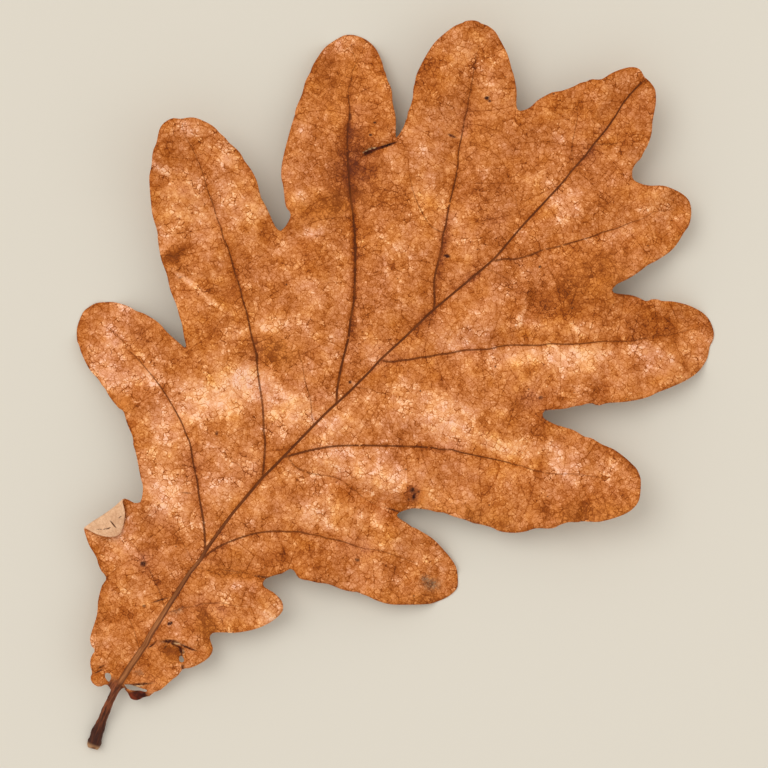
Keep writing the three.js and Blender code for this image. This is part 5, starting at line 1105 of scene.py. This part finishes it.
def wave(scale, detail=2.0, rough=0.5, off=0.0, src=None):
    """Noise about zero, about one wide."""
    n = node("ShaderNodeTexNoise", noise_dimensions="3D")
    put_in(n.inputs["Vector"], vadd(src or flat, (off, off * 0.7, off * 1.3)))
    put_in(n.inputs["Scale"], scale)
    put_in(n.inputs["Detail"], detail)
    put_in(n.inputs["Roughness"], rough)
    return M("MULTIPLY", sub(n.outputs[0], 0.5), 3.0)


def cells(scale, feature, src, rnd=1.0):
    n = node("ShaderNodeTexVoronoi", voronoi_dimensions="2D", feature=feature)
    put_in(n.inputs["Vector"], src)
    put_in(n.inputs["Scale"], scale)
    put_in(n.inputs["Randomness"], rnd)
    return n


def mix(f, a, b):
    n = node("ShaderNodeMix", data_type="RGBA")
    put_in(n.inputs[0], f)
    put_in(n.inputs[6], a)
    put_in(n.inputs[7], b)
    return n.outputs[2]


def clamp(v):
    return M("MAXIMUM", M("MINIMUM", v, 1.0), 0.0)


flat = A("flat", True)
wn = node("ShaderNodeTexNoise", noise_dimensions="3D")
put_in(wn.inputs["Vector"], flat)
put_in(wn.inputs["Scale"], 0.9)
put_in(wn.inputs["Detail"], 2.0)
wob = vadd(flat, vscale(vadd(wn.outputs["Color"], (-0.5, -0.5, -0.5)), 0.55))

big = cells(1.0 / 0.74, "DISTANCE_TO_EDGE", wob, 0.95)
bigc = cells(1.0 / 0.74, "F1", wob, 0.95)
small = cells(1.0 / 0.36, "DISTANCE_TO_EDGE", wob, 1.0)
smallc = cells(1.0 / 0.36, "F1", wob, 1.0)
line3 = ss(0.11, 0.015, big.outputs["Distance"])
line4 = ss(0.12, 0.02, small.outputs["Distance"])
sep = node("ShaderNodeSeparateColor")
nt.links.new(bigc.outputs["Color"], sep.inputs[0])
rand3 = sub(sep.outputs[0], 0.5)
sep2 = node("ShaderNodeSeparateColor")
nt.links.new(smallc.outputs["Color"], sep2.inputs[0])
rand4 = sub(sep2.outputs[0], 0.5)
# painted glints: bright dots at the small cells' centres stand in for sparkles of light on the puffed areoles
glint_dot = mul(ss(0.42, 0.08, smallc.outputs["Distance"]), ss(0.42, 1.0, sep2.outputs[1]))

d1s, w1s = A("d1"), A("w1")
ad1 = M("ABSOLUTE", d1s)
ad2, w2s = A("d2"), A("w2")
ad3 = M("ABSOLUTE", A("d3"))
under = A("under")
rib, ribd = A("rib"), A("ribd")
dm = A("dm")

k1 = A("k1")
core1 = mul(sub(1.0, ss(mul(w1s, 0.55), mul(w1s, 1.3), add(ad1, mul(wave(2.2, 2, 0.6, 5.0), 0.03)))), k1)
# painted shade: both bands darken the lamina beside the main veins, in the valleys they lie in; the wider band also
# gathers purple stain
vein_shade_and_stain = mul(M("POWER", 2.718, mul(sub(ad1, mul(w1s, 0.5)), -1.5)), k1)
vein_edge_shade = mul(M("POWER", 2.718, mul(sub(ad1, mul(w1s, 0.5)), -5.0)), k1)
shows2 = ss(-0.5, 0.5, wave(0.2, 2, 0.5, 7.0))
core2 = mul(sub(1.0, ss(mul(w2s, 0.3), mul(w2s, 1.7), ad2)), add(0.45, mul(shows2, 0.55)))
halo2 = M("POWER", 2.718, mul(ad2, -3.2))
core3 = mul(sub(1.0, ss(0.01, 0.065, ad3)), ss(0.34, 0.20, A("d3u")))

tone_and_shading_here = A("tone_and_shading")
tone_and_shading = add(mul(M("MINIMUM", tone_and_shading_here, 0.0), 2.0), mul(M("MAXIMUM", tone_and_shading_here, 0.0), 1.75))
# painted sheen: cream patches, following noise and the brighter tone-and-shading blobs, stand in for highlights on the
# wavy lamina; fine_sheen breaks them into smaller patches
patch = add(wave(0.21, 3, 0.62, 13.0), mul(tone_and_shading_here, 0.046))
sheen = ss(0.02, 0.62, patch)
fine_sheen = mul(ss(-0.20, 0.40, wave(0.75, 2, 0.6, 29.0)), add(0.30, mul(sheen, 0.70)))
low = mul(wave(0.075, 2, 0.5, 3.0), 13.0)
m1 = mul(wave(0.26, 2, 0.55, 11.0), 20.0)
rugged = add(0.72, mul(fine_sheen, 0.75))
m2 = mul(wave(0.62, 2, 0.55, 23.0), 22.0, rugged)
m3 = mul(wave(1.4, 1, 0.5, 31.0), 17.0, rugged)
grain = mul(wave(5.5, 1, 0.6, 41.0), 21.0)
cellv = mul(add(mul(rand3, 27.0), mul(rand4, 27.0)), add(0.6, mul(fine_sheen, 1.3)))
net = mul(add(mul(line3, -30.0), mul(line4, -18.0)), add(0.6, mul(fine_sheen, 1.5)))
# spark: the painted glints, brightest inside the painted sheen
spark = mul(glint_dot, add(9.0, mul(fine_sheen, 68.0)))
veins2 = add(mul(core2, -20.0), mul(halo2, -4.0), mul(core3, -8.0))
# the lightness adds painted sheen, painted glints and painted shade beside the main veins to the lamina's own mottling,
# cells, net and vein lines; the cells and net show more strongly inside the painted sheen
level = add(
    125.6, tone_and_shading, mul(sheen, 12.0), mul(fine_sheen, 22.0), low, m1, m2, m3, grain, cellv, net, spark, veins2,
    mul(vein_shade_and_stain, -13.0), mul(vein_edge_shade, -16.0), mul(M("POWER", 2.718, mul(dm, -3.5)), -15.0),
)

level = add(mul(sub(level, 126.0), 1.14), 126.0)
ramp = node("ShaderNodeValToRGB")
stops = [(46, (94, 38, 6)), (72, (137, 63, 8)), (96, (166, 86, 25)), (110, (182, 102, 42)), (126, (198, 119, 61)), (144, (214, 137, 82)), (161, (228, 155, 101)), (182, (244, 176, 124)), (205, (250, 196, 152))]
els = ramp.color_ramp.elements
for i, (l, c) in enumerate(stops):
    e = els[i] if i < 2 else els.new(0.5)
    e.position = (l - 40) / 170
    e.color = lin(*c)
for i, (l, c) in enumerate(stops):
    els[i].position = (l - 40) / 170
    els[i].color = lin(*c)
put_in(ramp.inputs[0], M("DIVIDE", sub(level, 40.0), 170.0))
col = ramp.outputs[0]
# some of the lamina is yellower, some pinker, at the same lightness; the painted sheen is tinted pinker and the painted
# glints yellower
hue = add(mul(wave(0.13, 3, 0.6, 37.0), 1.4), mul(wave(0.55, 2, 0.5, 43.0), 1.0), mul(sub(0.45, sheen), 0.32), mul(glint_dot, fine_sheen, 0.9))
tint = node("ShaderNodeCombineColor")
put_in(tint.inputs[0], add(1.0, mul(hue, 0.040)))
put_in(tint.inputs[1], add(1.0, mul(hue, 0.016)))
put_in(tint.inputs[2], M("MAXIMUM", sub(0.99, mul(hue, 0.24)), 0.25))
tn = node("ShaderNodeMix", data_type="RGBA", blend_type="MULTIPLY")
tn.inputs[0].default_value = 1.0
put_in(tn.inputs[6], col)
put_in(tn.inputs[7], tint.outputs[0])
col = tn.outputs[2]
rough_spots = add(1.0, mul(wave(0.9, 3, 0.6, 61.0), 0.5))
col = mix(clamp(mul(A("ochre"), rough_spots)), col, mix(ss(80, 150, level), lin(140, 70, 16), lin(208, 122, 44)))
purple = clamp(mul(add(A("purple"), mul(vein_shade_and_stain, ss(0.15, 0.8, wave(0.16, 2, 0.5, 71.0)), 0.75)), add(0.85, mul(wave(1.1, 3, 0.65, 67.0), 0.7))))
col = mix(mul(purple, 0.70), col, mix(ss(70, 150, level), lin(104, 48, 30), lin(200, 120, 84)))
vein_col = mix(ss(0.0, 0.9, wave(0.35, 2, 0.5, 81.0)), lin(90, 40, 8), lin(132, 66, 16))
col = mix(mul(core1, 0.86), col, vein_col)
fleck = mul(ss(0.86, 1.0, wave(1.05, 3, 0.7, 91.0)), 0.5)
col = mix(fleck, col, lin(112, 52, 24))
speck = cells(0.17, "F1", vadd(wob, (7.3, 2.1, 0.0)), 1.0)
sepk = node("ShaderNodeSeparateColor")
nt.links.new(speck.outputs["Color"], sepk.inputs[0])
speck_r = mul(M("POWER", sepk.outputs[0], 4.0), 0.026)
col = mix(mul(sub(1.0, ss(mul(speck_r, 0.5), add(speck_r, 0.006), speck.outputs["Distance"])), 0.8), col, lin(74, 38, 22))
mould = clamp(mul(A("mould"), add(0.75, mul(wave(2.6, 3, 0.7, 97.0), 0.9))))
col = mix(mould, col, mix(ss(-0.5, 0.6, wave(3.0, 2, 0.6, 99.0)), lin(78, 66, 52), lin(150, 134, 108)))
# the dark marks and the painted fold shade: brown round their edges, near black in their cores
dark_marks_and_shade = clamp(mul(A("dark_marks_and_shade"), add(1.0, mul(wave(3.4, 3, 0.75, 103.0), 0.9))))
col = mix(mul(ss(0.02, 0.45, dark_marks_and_shade), 0.55), col, lin(98, 52, 22))
col = mix(ss(0.22, 0.80, dark_marks_and_shade), col, mix(ss(-0.4, 0.5, wave(1.7, 2, 0.6, 113.0)), lin(38, 15, 9), lin(86, 32, 15)))
debris = clamp(mul(A("debris"), add(1.0, mul(wave(3.0, 3, 0.7, 117.0), 0.9))))
col = mix(ss(0.2, 0.7, debris), col, mix(ss(-0.3, 0.4, wave(2.4, 2, 0.6, 119.0)), lin(112, 78, 48), lin(214, 170, 122)))

# midrib: painted shade on its left, a paler band on its right near the base, darker along both edges, then a plain dark
# line
ribw = A("ribw")
rq = M("DIVIDE", ribd, ribw)
arq = M("ABSOLUTE", rq)
base_part = ss(30.0, 9.0, rib)
on_rib = mul(sub(1.0, ss(0.85, 1.08, arq)), ss(-0.5, 0.5, rib))
rstreak = wave(0.8, 3, 0.6, 107.0, vec(mul(ribd, 6.0), mul(rib, 0.35)))
rib_col = mix(ss(-0.6, 0.8, rstreak), lin(134, 76, 36), lin(180, 116, 68))
# painted shade: the left half of the midrib near the base is darkened
rib_col = mix(mul(sub(1.0, ss(-0.55, -0.10, add(rq, mul(rstreak, 0.2)))), add(0.55, mul(ss(3.0, 16.0, rib), 0.40))), rib_col, lin(92, 46, 22))
rib_col = mix(mul(ss(0.60, 0.98, arq), 0.8), rib_col, lin(88, 42, 18))
rib_line = mix(ss(-0.5, 0.9, rstreak), lin(88, 40, 12), lin(124, 64, 24))
col = mix(mul(on_rib, 0.93), col, mix(base_part, rib_line, rib_col))
aribd = M("ABSOLUTE", ribd)

# under face: paler, matte, with its own net
uv_level = add(mul(tone_and_shading, 0.2), mul(m1, 0.5), mul(m2, 0.5), mul(m3, 0.7), mul(grain, 0.6), mul(cellv, 0.35))
ucol = mix(ss(-34.0, 34.0, uv_level), lin(200, 148, 108), lin(240, 196, 156))
ucol = mix(mul(line3, 0.14), ucol, lin(160, 106, 68))
ucol = mix(mul(line4, 0.07), ucol, lin(160, 106, 68))
ucol = mix(mul(core2, 0.7), ucol, lin(146, 92, 56))
ucol = mix(mul(purple, 0.35), ucol, lin(150, 98, 74))
ucol = mix(mul(sub(1.0, ss(mul(w1s, 0.9), add(mul(w1s, 1.4), 0.12), ad1)), 0.85), ucol, mix(ss(-0.4, 0.6, wave(0.8, 2, 0.6, 111.0)), lin(140, 84, 48), lin(176, 118, 74)))
ucol = mix(clamp(mul(A("dark_marks_and_shade"), 0.8)), ucol, lin(70, 42, 28))
ucol = mix(ss(0.15, 0.7, A("veinlet")), ucol, lin(96, 58, 34))
col = mix(ss(0.25, 0.75, under), col, ucol)

# petiole
pet = mul(ss(0.9, -0.7, rib), ss(1.55, 1.15, aribd))
streak = wave(1.0, 3, 0.65, 121.0, vec(mul(ribd, 4.5), mul(rib, 0.5)))
pcol = mix(ss(-0.9, 0.9, add(streak, mul(wave(0.5, 2, 0.5, 125.0), 0.5))), lin(56, 26, 16), lin(128, 68, 40))
# painted highlights: lighter reddish streaks on the upper petiole
pcol = mix(mul(ss(-0.2, 0.9, streak), ss(-7.0, -3.0, rib), 0.6), pcol, lin(164, 92, 56))
pcol = mix(mul(ss(-3.5, -8.0, add(rib, mul(streak, 2.5))), 0.75), pcol, lin(54, 30, 24))
foot = ss(-PET_LEN + 0.9, -PET_LEN + 0.25, rib)
pcol = mix(mul(foot, 0.85), pcol, lin(184, 138, 96))
pcol = mix(mul(ss(0.45, 0.1, aribd), ss(-PET_LEN + 0.7, -PET_LEN + 0.2, rib)), pcol, lin(116, 70, 42))
col = mix(pet, col, pcol)
# the curled scrap of margin by the petiole
scrap = clamp(A("scrap"))
col = mix(scrap, col, mix(ss(-0.5, 0.9, wave(0.9, 3, 0.65, 131.0)), lin(52, 18, 10), lin(136, 54, 24)))

bsdf = node("ShaderNodeBsdfPrincipled")
out = node("ShaderNodeOutputMaterial")
nt.links.new(bsdf.outputs[0], out.inputs[0])
put_in(bsdf.inputs["Base Color"], col)
rough = add(0.56, mul(wave(0.7, 2, 0.5, 141.0), 0.07), mul(line3, 0.10), mul(under, 0.22), mul(sheen, -0.06))
put_in(bsdf.inputs["Roughness"], M("MINIMUM", rough, 0.95))
bsdf.inputs["Specular IOR Level"].default_value = 0.10

puff = sub(mul(ss(0.0, 0.35, big.outputs["Distance"]), 0.9), mul(line4, 0.25))
bh = add(
    mul(puff, 0.030),
    mul(rand4, 0.010),
    mul(wave(0.8, 3, 0.6, 151.0), 0.030),
    mul(wave(3.2, 2, 0.6, 157.0), 0.010),
    mul(core2, add(-0.030, mul(under, 0.07))),
    mul(core1, add(-0.06, mul(under, 0.06))),
    mul(line3, add(0.0, mul(under, 0.03))),
    mul(pet, streak, 0.05),
)
bump = node("ShaderNodeBump")
bump.inputs["Strength"].default_value = 0.9
bump.inputs["Distance"].default_value = 0.001
put_in(bump.inputs["Height"], bh)
nt.links.new(bump.outputs[0], bsdf.inputs["Normal"])
me.materials.append(mat)

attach(leaf, "root")
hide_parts("oak_leaf")

# ------------------------------------------------------------------ floor, light and camera
fm = bpy.data.materials.new("studio_floor")
fm.use_nodes = True
fb = fm.node_tree.nodes["Principled BSDF"]
fb.inputs["Base Color"].default_value = lin(*FLOOR_RGB)
fb.inputs["Roughness"].default_value = 0.95
fb.inputs["Specular IOR Level"].default_value = 0.1
floor_me = bpy.data.meshes.new("floor")
floor_me.from_pydata([(-3, -3, -0.00005), (3, -3, -0.00005), (3, 3, -0.00005), (-3, 3, -0.00005)], [], [(0, 1, 2, 3)])
floor = bpy.data.objects.new("floor", floor_me)
floor_me.materials.append(fm)
bpy.context.scene.collection.objects.link(floor)

world = bpy.data.worlds.new("studio")
world.use_nodes = True
world.node_tree.nodes["Background"].inputs[0].default_value = (1.0, 0.99, 0.975, 1)
world.node_tree.nodes["Background"].inputs[1].default_value = SKY
bpy.context.scene.world = world
right = np.array([math.cos(math.radians(39.65)), math.sin(math.radians(39.65)), 0])
upv = np.array([-right[1], right[0], 0])


def sun(name, sx, sy, elevation, power, angle, colour=(1, 1, 1)):
    """A sun whose light comes from (sx right, sy up) in the camera's view, at this elevation."""
    d = right * sx + upv * sy
    d = d / np.linalg.norm(d) * math.cos(math.radians(elevation))
    d = Vector((d[0], d[1], math.sin(math.radians(elevation))))
    l = bpy.data.lights.new(name, "SUN")
    l.energy, l.angle, l.color = power, math.radians(angle), colour
    o = bpy.data.objects.new(name, l)
    o.rotation_mode = "QUATERNION"
    o.rotation_quaternion = d.to_track_quat("Z", "Y")
    bpy.context.scene.collection.objects.link(o)


for s in SUNS:
    sun(*s)

cam = bpy.data.cameras.new("camera")
cam.lens, cam.sensor_width = CAM_LENS, SENSOR
cam.clip_start, cam.clip_end = 0.01, 10
co = bpy.data.objects.new("camera", cam)
co.matrix_world = Matrix(
    (
        (right[0], upv[0], 0, SHIFT[0] / 1000),
        (right[1], upv[1], 0, SHIFT[1] / 1000),
        (0, 0, 1, (CAM_D + MID_Z) / 1000),
        (0, 0, 0, 1),
    )
)
bpy.context.scene.collection.objects.link(co)
bpy.context.scene.camera = co
bpy.context.scene.view_settings.view_transform = "Standard"
